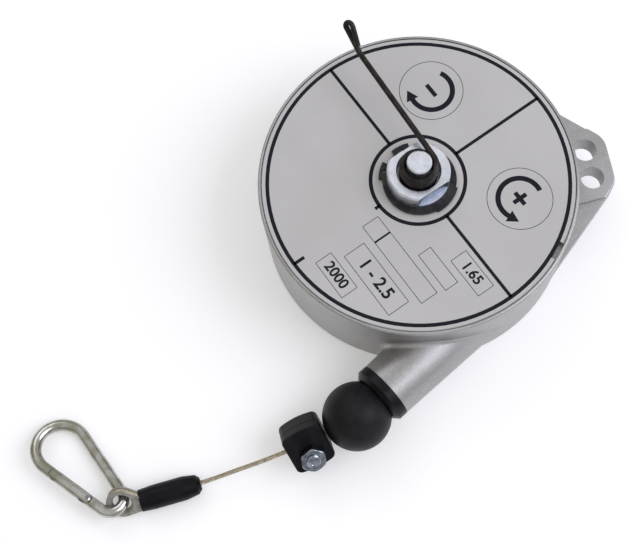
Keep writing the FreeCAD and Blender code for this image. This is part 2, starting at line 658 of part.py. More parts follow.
def release_lever():
    """Wrap spring whose upper end runs out as the arm, with a folded finger tip."""
    out = ARM_TURN - 90
    edges = []
    bottom = wrap_bottom()
    across = polar(1, out)
    ahead = polar(1, out + 90)
    start = across * (PIN_R * TANG_SINK) + V(0, 0, bottom)
    tang_end = across * (WRAP_R - TANG_BEND_R) + V(0, 0, bottom)
    middle = across * (WRAP_R - TANG_BEND_R + TANG_BEND_R * math.sin(math.pi / 4)) \
        + ahead * (TANG_BEND_R * (1 - math.cos(math.pi / 4))) + V(0, 0, bottom)
    join = across * WRAP_R + ahead * TANG_BEND_R + V(0, 0, bottom)
    edges.append(line(start, tang_end))
    edges.append(arc(tang_end, middle, join))
    first_turn = math.degrees(math.atan2(join.dot(ahead), join.dot(across)))
    coil_start = join
    for half in range(2 * WRAP_TURNS):
        low = bottom + half * WRAP_PITCH / 2
        sign = 1 if half % 2 == 0 else -1
        centre = V(0, 0, low + WRAP_PITCH / 4)
        radius = math.hypot(WRAP_R, WRAP_PITCH / 4)
        end = across * (-sign * WRAP_R) + V(0, 0, low + WRAP_PITCH / 2)
        if half == 0:
            swing = (180 + first_turn) / 2
            middle = across * (WRAP_R * math.cos(math.radians(swing))) \
                + ahead * (radius * math.sin(math.radians(swing))) \
                + V(0, 0, low + WRAP_PITCH / 4 * (1 - math.cos(math.radians(swing))))
            edges.append(arc(coil_start, middle, end))
        else:
            middle = centre + ahead * (sign * radius)
            edges.append(arc(across * (sign * WRAP_R) + V(0, 0, low), middle, end))
    leave = across * WRAP_R + V(0, 0, CASE_DEPTH + WRAP_TOP)
    corner = leave + ahead * ARM_LENGTH
    rise = math.radians(TIP_RISE)
    climb = ahead * math.cos(rise) + UP * math.sin(rise)
    tip = corner + climb * TIP_LENGTH
    first, mid, last = bend(corner, leave, tip, TIP_BEND_R)
    edges += [line(leave, first), arc(first, mid, last), line(last, tip)]
    over = across.cross(climb)
    lay = math.radians(TIP_FOLD_TURN)
    fold = (across * math.cos(lay) + over * math.sin(lay)) * TIP_FOLD_R
    back = tip + fold * 2
    knee = back - climb * TIP_KNEE
    lay = math.radians(TIP_REST_TURN)
    rest = (across * math.cos(lay) + over * math.sin(lay)) * (WIRE_DIA + TIP_REST_GAP)
    end = tip - climb * TIP_RETURN + rest
    first, mid, last = bend(knee, back, end, TIP_BEND_R)
    edges += [arc(tip, tip + fold + climb * TIP_FOLD_R, back), line(back, first), arc(first, mid, last)]
    edges.append(line(last, end))
    return swept(edges, WIRE_R)


# ---------------------------------------------------------------- rope end: ball, clamp, sleeve, thimble
def clamp_frame():
    """Origin and axes of the clamp: X along the rope away from the ball, Z out of the nut's face."""
    along = (CLAMP_END - BALL_CENTRE).normalize()
    face = along.cross(UP).normalize().cross(along)
    return CLAMP_END - along * CLAMP_LENGTH, along, FreeCAD.Rotation(along, CLAMP_ROLL).multVec(face)


def in_clamp(shape):
    """Moves a shape from the clamp's own frame to its place."""
    origin, along, face = clamp_frame()
    return placed(shape, origin, along, face)


def rubber_ball():
    """Stop ball on the rope, with its rope hole."""
    ball = Part.makeSphere(BALL_R, BALL_CENTRE)
    hole = Part.makeCylinder(ROPE_R + 0.05, BALL_DIA, BALL_CENTRE + V(0, BALL_R, 0), V(0, -1, 0))
    return ball.cut(hole)


def clamp_middle():
    """Half the clamp's length, where the bolt stands."""
    return CLAMP_LENGTH / 2


def clamp_half(side):
    """One half of the rope clamp: barrel-sided block with a rope groove and the bolt hole."""
    low_y = -CLAMP_WIDTH / 2 - ROPE_SHIFT
    high_y = CLAMP_WIDTH / 2 - ROPE_SHIFT
    middle = clamp_middle()
    wire = Part.Wire([
        arc(V(0, low_y, 0), V(middle, low_y - CLAMP_BULGE, 0), V(CLAMP_LENGTH, low_y, 0)),
        line(V(CLAMP_LENGTH, low_y, 0), V(CLAMP_LENGTH, high_y, 0)),
        arc(V(CLAMP_LENGTH, high_y, 0), V(middle, high_y + CLAMP_BULGE, 0), V(0, high_y, 0)),
        line(V(0, high_y, 0), V(0, low_y, 0))])
    depth = (CLAMP_FRONT if side > 0 else CLAMP_BACK) - CLAMP_SPLIT / 2
    block = Part.Face(wire).extrude(V(0, 0, side * depth))
    upright = [edge for edge in block.Edges if abs(edge.tangentAt(edge.FirstParameter).z) > 0.9]
    block = block.makeFillet(CLAMP_CORNER_R, upright)
    outer_edges = [edge for edge in block.Edges if abs(abs(edge.CenterOfMass.z) - depth) < 0.01]
    block = block.makeFillet(CLAMP_EDGE_R, outer_edges).translated(V(0, 0, side * CLAMP_SPLIT / 2))
    block = block.cut(Part.makeCylinder(ROPE_R + 0.02, 3 * CLAMP_LENGTH, V(-CLAMP_LENGTH, 0, 0), V(1, 0, 0)))
    bolt_hole = Part.makeCylinder(BOLT_R + 0.1, 4 * CLAMP_BACK, V(middle, ROPE_TO_BOLT, -2 * CLAMP_BACK))
    pocket = hexagon(NUT_AF + 0.2, -2 * CLAMP_BACK, HEAD_HEIGHT - CLAMP_BACK, V(middle, ROPE_TO_BOLT, 0))
    return in_clamp(block.cut([bolt_hole, pocket]))


def clamp_bolt():
    """Bolt through both halves, its head sunk in the back half and its end just proud of the nut."""
    place = V(clamp_middle(), ROPE_TO_BOLT, -CLAMP_BACK)
    length = CLAMP_BACK + CLAMP_FRONT + NUT_HEIGHT + BOLT_PROUD
    shank = Part.makeCylinder(BOLT_R - 0.05, length, place)
    head = hexagon(NUT_AF, 0, HEAD_HEIGHT).translated(place)
    return in_clamp(shank.fuse(head))


def clamp_nut():
    """Hexagon nut on the face of the clamp, its corners turned down at both ends."""
    corner = NUT_CORNERS / 2
    turned_down = turned([
        (0, 0), (corner - 0.6, 0), (corner, 0.4), (corner, NUT_HEIGHT - 0.4),
        (corner - 0.6, NUT_HEIGHT), (0, NUT_HEIGHT)])
    nut = hexagon(NUT_AF, 0, NUT_HEIGHT).common(turned_down).cut(cylinder(BOLT_R, -1, 2 * NUT_HEIGHT))
    nut.rotate(V(0, 0, 0), UP, NUT_TURN)
    return in_clamp(nut.translated(V(clamp_middle(), ROPE_TO_BOLT, CLAMP_FRONT)))


def rope_lead():
    """Rope from the winding, through the tube and the bush, to the middle of the ball."""
    start = V(TUBE_OFFSET, -LEAD_START, TUBE_HEIGHT)
    return Part.makeCylinder(ROPE_R, start.y - BALL_CENTRE.y, start, V(0, -1, 0))


def rope_points():
    """Route of the free rope, from the clamp's face to the ferrule in the sleeve."""
    return [CLAMP_END, ROPE_HIGH, ROPE_MIDDLE, ROPE_LOW, SLEEVE_START + sleeve_axis() * ferrule_start()]


@functools.lru_cache(maxsize=None)
def rope_tail():
    """The free rope."""
    edges = cord_edges(rope_points())
    rope = swept(edges, ROPE_R)
    length = sum(edge.Length for edge in edges)
    print("free rope %.2f mm, section x length %.2f mm3, solid %.2f mm3"
          % (length, math.pi * ROPE_R ** 2 * length, rope.Volume))
    return rope


def sleeve_axis():
    """Direction of the rubber sleeve towards the thimble."""
    return (SLEEVE_END - SLEEVE_START).normalize()


def ferrule_start():
    """Distance from the rope's end of the sleeve to the ferrule."""
    return (SLEEVE_END - SLEEVE_START).Length - FERRULE_DEPTH - FERRULE_LENGTH


def rubber_sleeve():
    """Rubber tube over the ferrule, drawn in round the rope and stretched over the thimble's end."""
    length = (SLEEVE_END - SLEEVE_START).Length
    mouth_r = SLEEVE_R - SLEEVE_WALL
    hole_r = ROPE_R + SLEEVE_ROPE_CLEAR
    tube = turned([
        (hole_r, 0), (SLEEVE_NOSE_R, 0), (SLEEVE_SHOULDER.x, SLEEVE_SHOULDER.z), (SLEEVE_R, SLEEVE_TAPER),
        (SLEEVE_R, length - SLEEVE_FLARE), (SLEEVE_MOUTH_R, length), (mouth_r - SLEEVE_LIP.x, length),
        (mouth_r, length - SLEEVE_LIP.z), (mouth_r, SLEEVE_TAPER), (hole_r, SLEEVE_GRIP)])
    sleeve = placed(tube, SLEEVE_START, V(0, 0, 1), sleeve_axis())
    return sleeve.cut([in_thimble(thimble_blank()), rope_eye(), rope_tail()])


def ferrule():
    """Crimped ferrule that holds both legs of the rope's eye."""
    body = Part.makeCylinder(FERRULE_R, FERRULE_LENGTH)
    low = V(-FERRULE_R, -FERRULE_FLATS / 2, 0)
    body = body.common(Part.makeBox(2 * FERRULE_R, FERRULE_FLATS, FERRULE_LENGTH, low))
    body = placed(body, SLEEVE_START + sleeve_axis() * ferrule_start(), V(0, 0, 1), sleeve_axis())
    return body.cut([rope_eye(), rope_tail()])


def thimble_frame():
    """Origin at the eye, X towards the sleeve, Z out of the plate's upper face."""
    small_centre, along, across = hook_frame()
    turn = math.radians(HOOK_PASS)
    wire = small_centre - along * (HOOK_SMALL_R * math.cos(turn)) + across * (HOOK_SMALL_R * math.sin(turn))
    toward = polar(1, EYE_TURN)
    lean = math.radians(EYE_LEAN)
    face = polar(math.cos(lean), EYE_TURN - 90) + UP * math.sin(lean)
    return wire - toward * EYE_SLIP, toward, face


def in_thimble(shape):
    """Moves a shape from the thimble's own frame to its place."""
    origin, toward, face = thimble_frame()
    return placed(shape, origin, toward, face)


def leg_spread():
    """Direction, off the thimble's length, in which the rope's legs leave its round end."""
    radius = EYE_GROOVE_R + ROPE_R + 0.05
    reach = math.hypot(EYE_NECK, leg_offset())
    return math.acos(radius / reach) + math.atan2(leg_offset(), EYE_NECK)


def leg_offset():
    """Distance of each leg of the rope from the middle line, where the legs lie side by side."""
    return ROPE_R + 0.1


def teardrop(radius, thick):
    """A plate with one round end about the origin and its sides along the rope's legs."""
    spread = leg_spread()
    point = V(radius / math.cos(spread), 0, 0)
    touch = V(radius * math.cos(spread), radius * math.sin(spread), 0)
    low_touch = V(touch.x, -touch.y, 0)
    wire = Part.Wire([arc(touch, V(-radius, 0, 0), low_touch), line(low_touch, point), line(point, touch)])
    return Part.Face(wire).extrude(V(0, 0, thick)).translated(V(0, 0, -thick / 2))


def thimble_blank():
    """The thimble's outline with its groove, before the hole is made."""
    plate = teardrop(EYE_FLANGE_R, EYE_RING_THICK)
    groove = teardrop(3 * EYE_FLANGE_R, ROPE_DIA + 0.2).cut(teardrop(EYE_GROOVE_R, 2 * ROPE_DIA))
    beyond = Part.makeBox(4 * EYE_LENGTH, 4 * EYE_FLANGE_R, 4 * EYE_RING_THICK)
    return plate.cut([groove, beyond.translated(V(EYE_LENGTH, -2 * EYE_FLANGE_R, -2 * EYE_RING_THICK))])


def thimble():
    """Grooved teardrop in the rope's eye, its hole flared at both faces."""
    face = EYE_RING_THICK / 2
    hole = turned([(0, -face), (EYE_RING_R + EYE_FLARE, -face), (EYE_RING_R, -0.3), (EYE_RING_R, 0.3),
                   (EYE_RING_R + EYE_FLARE, face), (0, face)])
    return in_thimble(thimble_blank().cut(hole))


def rope_eye():
    """The rope's loop in the groove of the thimble, with its two legs into the ferrule."""
    origin, toward, face = thimble_frame()
    side = face.cross(toward)
    radius = EYE_GROOVE_R + ROPE_R + 0.05
    spread = leg_spread()
    entry = SLEEVE_END - sleeve_axis() * FERRULE_DEPTH
    level = (side - sleeve_axis() * side.dot(sleeve_axis())).normalize()
    touch, first, middle, last, inside = {}, {}, {}, {}, {}
    for sign in (1, -1):
        touch[sign] = origin + toward * (radius * math.cos(spread)) + side * (sign * radius * math.sin(spread))
        inside[sign] = entry + level * (sign * leg_offset())
        neck = origin + toward * EYE_NECK + side * (sign * leg_offset())
        first[sign], middle[sign], last[sign] = bend(neck, inside[sign], touch[sign], 2 * ROPE_DIA)
    return swept([
        line(inside[1], first[1]), arc(first[1], middle[1], last[1]), line(last[1], touch[1]),
        arc(touch[1], origin - toward * radius, touch[-1]),
        line(touch[-1], last[-1]), arc(last[-1], middle[-1], first[-1]), line(first[-1], inside[-1])], ROPE_R)


# ---------------------------------------------------------------- spring hook
def hook_reach():
    """Middle of the small bend to the middle of the big one."""
    return HOOK_LENGTH - HOOK_WIRE - HOOK_BIG_R - HOOK_SMALL_R


def hook_frame():
    """Middle of the small bend, direction to the big end and direction to the spine."""
    slope = math.radians(HOOK_SLOPE)
    roll = math.radians(HOOK_ROLL)
    along = polar(math.cos(slope), HOOK_TURN) - UP * math.sin(slope)
    level = polar(1, HOOK_TURN - 90)
    across = level * math.cos(roll) - level.cross(along) * math.sin(roll)
    tilt = math.hypot(along.z, across.z)
    height = HOOK_R + HOOK_BIG_R * tilt + hook_reach() * math.sin(slope)
    return HOOK_SMALL + UP * height, along, across


def in_hook(shape):
    """Moves a shape from the hook's own frame: X to its big end, Y to its spine."""
    small_centre, along, across = hook_frame()
    return placed(shape, small_centre, along, along.cross(across))


def hook_side(side):
    """Outward direction and lengthwise direction of the spine's side (1) or of the gate's side (-1)."""
    slant = math.asin((HOOK_BIG_R - HOOK_SMALL_R) / hook_reach())
    outward = V(-math.sin(slant), side * math.cos(slant), 0)
    return outward, V(math.cos(slant), side * math.sin(slant), 0)


def gate_ends():
    """Pivot and free end of the gate in the hook's own frame."""
    outward, lengthwise = hook_side(-1)
    pivot = outward * HOOK_SMALL_R + lengthwise * GATE_PIVOT
    return pivot, V(hook_reach(), 0, 0) + outward * HOOK_BIG_R - lengthwise * GATE_LATCH


def tongue_r():
    """Half the height of both tongues."""
    return HOOK_R - TONGUE_DROP


def hook_body():
    """Bent wire from the gate's pivot round the small bend, the spine and the big bend to the latch."""
    outward, lengthwise = hook_side(-1)
    spine = hook_side(1)[0]
    pivot, latch = gate_ends()
    big = V(hook_reach(), 0, 0)
    pivot_end = pivot - lengthwise * PIVOT_REACH
    latch_end = latch + lengthwise * LATCH_REACH
    small_in, small_out = outward * HOOK_SMALL_R, spine * HOOK_SMALL_R
    big_in, big_out = big + spine * HOOK_BIG_R, big + outward * HOOK_BIG_R
    bar = swept([
        line(pivot_end, small_in), arc(small_in, V(-HOOK_SMALL_R, 0, 0), small_out), line(small_out, big_in),
        arc(big_in, big + V(HOOK_BIG_R, 0, 0), big_out), line(big_out, latch_end)], HOOK_R)
    for end, centre in ((pivot_end, pivot), (latch_end, latch)):
        reach = centre - end
        corner = V(0, -tongue_r(), -TONGUE_THICK / 2)
        tongue = Part.makeBox(reach.Length, 2 * tongue_r(), TONGUE_THICK, corner)
        tip = Part.makeCylinder(tongue_r(), TONGUE_THICK, V(reach.Length, 0, -TONGUE_THICK / 2))
        bar = bar.fuse(placed(tongue.fuse(tip), end, reach, UP))
    bore = Part.makeCylinder(GATE_PIN_R + PIN_BORE_CLEAR, 2 * HOOK_WIRE, pivot - V(0, 0, HOOK_WIRE))
    return in_hook(bar.cut(bore).removeSplitter())


def gate_pin():
    """Rivet of the gate's pivot."""
    half = math.sqrt((HOOK_R) ** 2 - GATE_PIN_R ** 2)
    return in_hook(Part.makeCylinder(GATE_PIN_R, 2 * half, gate_ends()[0] - V(0, 0, half)))


def hook_gate():
    """Straight gate with a slot at each end, for the pivot tongue and for the latch."""
    pivot, latch = gate_ends()
    length = (latch - pivot).Length
    slot = tongue_r() + GATE_SLOT_END
    bar = Part.makeCylinder(HOOK_R, length, V(0, 0, 0), V(1, 0, 0))
    bar = bar.fuse(Part.makeSphere(HOOK_R, V(0, 0, 0)))
    for start, end in ((-HOOK_WIRE, slot), (length - slot, length + HOOK_WIRE)):
        low = V(start, -HOOK_WIRE, -GATE_SLOT / 2)
        bar = bar.cut(Part.makeBox(end - start, 2 * HOOK_WIRE, GATE_SLOT, low))
    bar = bar.cut(Part.makeCylinder(GATE_PIN_R + ROTATE_CLEAR, 2 * HOOK_WIRE, V(0, 0, -HOOK_WIRE)))
    return in_hook(placed(bar, pivot, latch - pivot, UP))


PIECES = {
    "housing_casting": housing_casting,
    "cover_plate": cover_plate,
    "rating_label": rating_label,
    "axle_pin": axle_pin,
    "thrust_washer": thrust_washer,
    "rope_guide_bush": rope_guide_bush,
    "rope_drum": rope_drum,
    "drum_bush": drum_bush,
    "drum_lid": drum_lid,
    "rope_winding": rope_winding,
    "mainspring": mainspring,
    "drum_stud": drum_stud,
    "arbor": arbor,
    "arbor_stud": arbor_stud,
    "arbor_clip": arbor_clip,
    "release_lever": release_lever,
    "rubber_ball": rubber_ball,
    "clamp_half_front": lambda: clamp_half(1),
    "clamp_half_back": lambda: clamp_half(-1),
    "clamp_bolt": clamp_bolt,
    "clamp_nut": clamp_nut,
    "rope_lead": rope_lead,
    "rope_tail": rope_tail,
    "rubber_sleeve": rubber_sleeve,
    "ferrule": ferrule,
    "thimble": thimble,
    "rope_eye": rope_eye,
    "hook_body": hook_body,
    "hook_gate": hook_gate,
    "gate_pin": gate_pin,
}

os.makedirs("parts", exist_ok=True)
for name, make in PIECES.items():
    shape = make()
    shape.exportStep("parts/" + name + ".step")
    print("%-18s volume %9.1f mm3, solids %d, valid %s" % (name, shape.Volume, len(shape.Solids), shape.isValid()))
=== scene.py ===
"""Looks of a spring tool balancer: finishes, printed dial, stranded rope and a plain studio.

Everything is in metres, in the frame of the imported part: drum axis up (+Z), rope tube along -Y.
"""

import logging
import math
from dataclasses import dataclass, field
from enum import Enum
from typing import Iterable, Sequence

import bmesh
import bpy
from mathutils import Matrix, Vector


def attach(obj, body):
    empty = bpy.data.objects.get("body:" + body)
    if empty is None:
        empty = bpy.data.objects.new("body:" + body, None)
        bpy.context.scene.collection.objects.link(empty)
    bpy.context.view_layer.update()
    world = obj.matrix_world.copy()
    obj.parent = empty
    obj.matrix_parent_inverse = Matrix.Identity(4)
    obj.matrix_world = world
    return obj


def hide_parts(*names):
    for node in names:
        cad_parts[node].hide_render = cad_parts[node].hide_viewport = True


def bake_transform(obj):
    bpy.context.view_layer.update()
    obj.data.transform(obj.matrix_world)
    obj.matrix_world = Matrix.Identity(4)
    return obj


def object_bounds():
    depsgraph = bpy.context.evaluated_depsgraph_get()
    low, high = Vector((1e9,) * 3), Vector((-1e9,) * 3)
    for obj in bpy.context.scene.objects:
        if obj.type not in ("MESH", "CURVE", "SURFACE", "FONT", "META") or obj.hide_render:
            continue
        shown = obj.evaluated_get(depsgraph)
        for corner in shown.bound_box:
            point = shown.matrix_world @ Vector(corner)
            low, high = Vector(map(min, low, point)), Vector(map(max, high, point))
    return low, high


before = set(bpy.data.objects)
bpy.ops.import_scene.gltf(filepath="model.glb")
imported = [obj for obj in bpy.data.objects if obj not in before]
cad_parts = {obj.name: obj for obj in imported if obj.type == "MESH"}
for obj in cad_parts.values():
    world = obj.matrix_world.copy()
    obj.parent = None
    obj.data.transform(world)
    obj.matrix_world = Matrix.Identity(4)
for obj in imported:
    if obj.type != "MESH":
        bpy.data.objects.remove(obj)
CAD_BOX = [list(corner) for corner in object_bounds()]

LOG = logging.getLogger("balancer")
MM = 0.001
WELD = 0.001 * MM
TINY = 1e-9
UP = Vector((0.0, 0.0, 1.0))

Colour = tuple[float, float, float]
Point = tuple[float, float, float]
Span = tuple[float, float]
WHITE: Colour = (1.0, 1.0, 1.0)


# ---------------- shader maths
class Value:
    """A number that changes over a surface. Arithmetic on it adds Math nodes."""

    def __init__(self, graph: "Graph", socket: bpy.types.NodeSocket) -> None:
        """Wraps one output socket of a graph."""
        self.graph = graph
        self.socket = socket

    def math(self, operation: str, *others: "Value | float",
             first: "Value | float | None" = None) -> "Value":
        """Adds one Math node.

        Args:
            operation: the Math node's operation.
            others: the operands after this one.
            first: an operand that goes before this one, for the reflected forms.

        Returns:
            The node's result.
        """
        operands = ([] if first is None else [first]) + [self, *others]
        return self.graph.number("ShaderNodeMath", {"operation": operation},
                                 dict(enumerate(operands)))

    def __add__(self, other: "Value | float") -> "Value":
        """self + other."""
        return self.math("ADD", other)

    __radd__ = __add__

    def __mul__(self, other: "Value | float") -> "Value":
        """self * other."""
        return self.math("MULTIPLY", other)

    __rmul__ = __mul__

    def __sub__(self, other: "Value | float") -> "Value":
        """self - other."""
        return self.math("SUBTRACT", other)

    def __rsub__(self, other: float) -> "Value":
        """other - self."""
        return self.math("SUBTRACT", first=other)

    def __truediv__(self, other: "Value | float") -> "Value":
        """self / other."""
        return self.math("DIVIDE", other)

    def __abs__(self) -> "Value":
        """abs(self)."""
        return self.math("ABSOLUTE")

    def sine(self) -> "Value":
        """Sine of a value in radians."""
        return self.math("SINE")

    def root(self) -> "Value":
        """Square root."""
        return self.math("SQRT")

    def capped(self) -> "Value":
        """The value, or 1 where it is more."""
        return self.math("MINIMUM", 1.0)

    def lifted(self) -> "Value":
        """A wave of -1 to 1 brought to 0 to 1."""
        return self * 0.5 + 0.5

    def swing(self, amount: float) -> "Value":
        """A swing about zero that is amount wide, from a value of 0 to 1."""
        return amount * (self - 0.5)

    def smooth(self, low: float, high: float) -> "Value":
        """0 below low, 1 above high, with a smooth step between them."""
        return self.graph.number(
            "ShaderNodeMapRange", {"interpolation_type": "SMOOTHSTEP", "clamp": True},
            {"Value": self, "From Min": low, "From Max": high})


class Graph:
    """The nodes of a material or of the world."""

    def __init__(self, tree: bpy.types.NodeTree, output: str) -> None:
        """Empties the tree and adds its output.

        Args:
            tree: the tree that gets the nodes.
            output: the type of its output node.
        """
        self.tree = tree
        self.tree.nodes.clear()
        self.output = self.tree.nodes.new(output)

    def node(self, kind: str, settings: dict[str, object],
             inputs: dict[str | int, object]) -> bpy.types.Node:
        """Adds any node.

        Args:
            kind: the node's type.
            settings: properties that are set before the sockets.
            inputs: a value, a Value or a socket for each socket name or number.

        Returns:
            The new node.
        """
        made = self.tree.nodes.new(kind)
        for key, value in settings.items():
            setattr(made, key, value)
        for key, value in inputs.items():
            self.plug(made.inputs[key], value)
        return made

    def plug(self, socket: bpy.types.NodeSocket, value: object) -> None:
        """Links or sets one input socket.

        Args:
            socket: the input.
            value: a Value or an output socket to link, or else what to set.
        """
        if isinstance(value, Value):
            self.tree.links.new(value.socket, socket)
        elif isinstance(value, bpy.types.NodeSocket):
            self.tree.links.new(value, socket)
        elif isinstance(value, (tuple, list)) and len(value) == 3 and socket.type == "RGBA":
            socket.default_value = (*value, 1.0)
        else:
            socket.default_value = value

    def show(self, shader: bpy.types.Node) -> None:
        """Links a shader node to the output's surface."""
        self.plug(self.output.inputs["Surface"], shader.outputs[0])

    def number(self, kind: str, settings: dict[str, object],
               inputs: dict[str | int, object]) -> Value:
        """Adds a node and wraps its first output as a number."""
        return Value(self, self.node(kind, settings, inputs).outputs[0])

    def coords(self) -> bpy.types.NodeSocket:
        """Object coordinates, in metres."""
        return self.node("ShaderNodeTexCoord", {}, {}).outputs["Object"]

    def stretched(self, stretch: Point) -> bpy.types.NodeSocket:
        """Object coordinates scaled along each axis."""
        mapped = self.node("ShaderNodeMapping", {}, {"Vector": self.coords(), "Scale": stretch})
        return mapped.outputs[0]

    def axes(self, vector: bpy.types.NodeSocket) -> tuple[Value, Value, Value]:
        """The three parts of a vector."""
        split = self.node("ShaderNodeSeparateXYZ", {}, {0: vector})
        return tuple(Value(self, out) for out in split.outputs[:3])

    def noise(self, scale: float, detail: float = 3.0, roughness: float = 0.55,
              vector: bpy.types.NodeSocket | None = None) -> Value:
        """Fractal noise.

        Args:
            scale: cells per metre.
            detail: octaves.
            roughness: weight of the finer octaves.
            vector: where it is read; Object coordinates if none.

        Returns:
            A value round 0.5.
        """
        where = self.coords() if vector is None else vector
        return self.number("ShaderNodeTexNoise", {}, {
            "Vector": where, "Scale": scale, "Detail": detail, "Roughness": roughness})

    def brushed(self, scale: float, stretch: Point) -> Value:
        """Fine noise drawn out along an axis."""
        return self.noise(scale, 2.0, 0.6, self.stretched(stretch))

    def mix(self, factor: Value | float, low: object, high: object) -> bpy.types.NodeSocket:
        """Mixes two colours."""
        made = self.node("ShaderNodeMix", {"data_type": "RGBA"}, {0: factor, 6: low, 7: high})
        return made.outputs[2]

    def bump(self, height: Value, depth: float) -> bpy.types.NodeSocket:
        """Turns a height of 0 to 1 into a normal, depth metres deep."""
        made = self.node("ShaderNodeBump", {}, {
            "Strength": 1.0, "Distance": depth, "Height": height})
        return made.outputs[0]

    def seen(self, glossy: float = 1.0) -> Value:
        """Tells what shows the plain white background.

        Args:
            glossy: how much of it a reflection shows.

        Returns:
            1 for what the camera sees straight or through glass, less in a reflection, else 0.
        """
        path = self.node("ShaderNodeLightPath", {}, {})
        straight = Value(self, path.outputs["Is Camera Ray"])
        through = Value(self, path.outputs["Is Transmission Ray"])
        mirrored = Value(self, path.outputs["Is Glossy Ray"])
        return (straight + through + mirrored * glossy).capped()


class MaterialGraph(Graph):
    """The nodes of one material, round its Principled shader."""

    def __init__(self, name: str) -> None:
        """Starts the material.

        Args:
            name: the material's name.
        """
        self.material = bpy.data.materials.new(name)
        self.material.use_nodes = True
        super().__init__(self.material.node_tree, "ShaderNodeOutputMaterial")
        self.shader = self.node("ShaderNodeBsdfPrincipled", {}, {})
        self.show(self.shader)

    def finish(self, **sockets: object) -> bpy.types.Material:
        """Sets the Principled shader's sockets.

        Args:
            sockets: what goes into each, by its name with underscores for spaces.

        Returns:
            The material.
        """
        for key, value in sockets.items():
            self.plug(self.shader.inputs[key.replace("_", " ")], value)
        return self.material


# ---------------- finishes
@dataclass(frozen=True)
class Pattern:
    """One fractal pattern, sharpened by a smooth step."""

    scale: float
    detail: float = 4.0
    low: float = 0.35
    high: float = 0.7
    roughness: float = 0.55

    def on(self, graph: Graph) -> Value:
        """Adds the pattern to a graph."""
        cells = graph.noise(self.scale, self.detail, self.roughness)
        return cells.smooth(self.low, self.high)


@dataclass(frozen=True)
class CastFinish:
    """Die-cast aluminium with a satin sheen, a fine grain and a mould line round the pot."""

    name: str = "satin_casting"
    light: Colour = (0.47, 0.465, 0.485)
    dark: Colour = (0.30, 0.29, 0.262)
    metallic: float = 0.85
    roughness: float = 0.42
    cloud: Pattern = Pattern(60.0)
    cloud_share: Span = (0.35, 0.3)
    grain: float = 2600.0
    dimples: float = 900.0
    relief: float = 0.03 * MM
    cloud_rough: float = 0.06
    grain_rough: float = 0.14
    grain_rise: float = 0.9
    dimple_rise: float = 0.5
    speck: Colour = (0.66, 0.66, 0.70)
    speck_weight: float = 0.22
    speck_step: Span = (0.5, 0.72)
    mould_line: float = 37.0 * MM
    line_width: float = 0.35 * MM
    line_colour: Colour = (0.2, 0.2, 0.2)
    line_weight: float = 0.35
    line_depth: float = 0.6
    outer: float = 66.0 * MM

    def material(self) -> bpy.types.Material:
        """Builds the material.

        Returns:
            The material.
        """
        graph = MaterialGraph(self.name)
        cloud = self.cloud.on(graph)
        grain = graph.noise(self.grain, 2.0)
        speck = Pattern(self.grain / 2, 1.0, *self.speck_step).on(graph)
        x, y, z = graph.axes(graph.coords())
        on_wall = (x * x + y * y).root().smooth(self.outer, self.outer + MM)
        line = (abs(z - self.mould_line) / self.line_width).smooth(1.0, 0.0) * on_wall
        base, span = self.cloud_share
        colour = graph.mix(base + span * cloud, self.dark, self.light)
        colour = graph.mix(line * self.line_weight, colour, self.line_colour)
        colour = graph.mix(speck * self.speck_weight, colour, self.speck)
        rough = self.roughness + cloud.swing(self.cloud_rough) + grain.swing(self.grain_rough)
        dimples = graph.noise(self.dimples, 3.0) * self.dimple_rise
        height = grain * self.grain_rise + dimples - line * self.line_depth
        return graph.finish(Base_Color=colour, Metallic=self.metallic, Roughness=rough,
                            Normal=graph.bump(height, self.relief))


@dataclass(frozen=True)
class FoilFinish:
    """Warm grey printed foil with a faint brushed grain."""

    name: str = "rating_foil"
    light: Colour = (0.56, 0.548, 0.535)
    dark: Colour = (0.505, 0.493, 0.478)
    metallic: float = 0.12
    roughness: float = 0.45
    drift: Pattern = Pattern(22.0, 3.0, 0.3, 0.7)
    drift_weight: float = 0.7
    grain: float = 3000.0
    grain_weight: float = 0.3
    grain_rough: float = 0.1
    brushing: Point = (1.0, 0.15, 1.0)
    relief: float = 0.008 * MM

    def material(self) -> bpy.types.Material:
        """Builds the material.

        Returns:
            The material.
        """
        graph = MaterialGraph(self.name)
        grain = graph.brushed(self.grain, self.brushing)
        blend = self.drift.on(graph) * self.drift_weight + grain * self.grain_weight
        colour = graph.mix(blend, self.dark, self.light)
        rough = self.roughness + grain.swing(self.grain_rough)
        return graph.finish(Base_Color=colour, Metallic=self.metallic, Roughness=rough,
                            Normal=graph.bump(grain, self.relief))


@dataclass(frozen=True)
class InkFinish:
    """Blue-black printing ink, a little thin in places."""

    name: str = "printing_ink"
    colour: Colour = (0.010, 0.011, 0.017)
    thin_colour: Colour = (0.05, 0.05, 0.06)
    thinning: Pattern = Pattern(900.0, 3.0, 0.5, 0.85)
    thin_weight: float = 0.15
    thin_rough: float = 0.1
    roughness: float = 0.5
    specular: float = 0.12

    def material(self) -> bpy.types.Material:
        """Builds the material.

        Returns:
            The material.
        """
        graph = MaterialGraph(self.name)
        thin = self.thinning.on(graph)
        colour = graph.mix(thin * self.thin_weight, self.colour, self.thin_colour)
        rough = self.roughness + self.thin_rough * thin
        return graph.finish(Base_Color=colour, Roughness=rough, Specular_IOR_Level=self.specular)


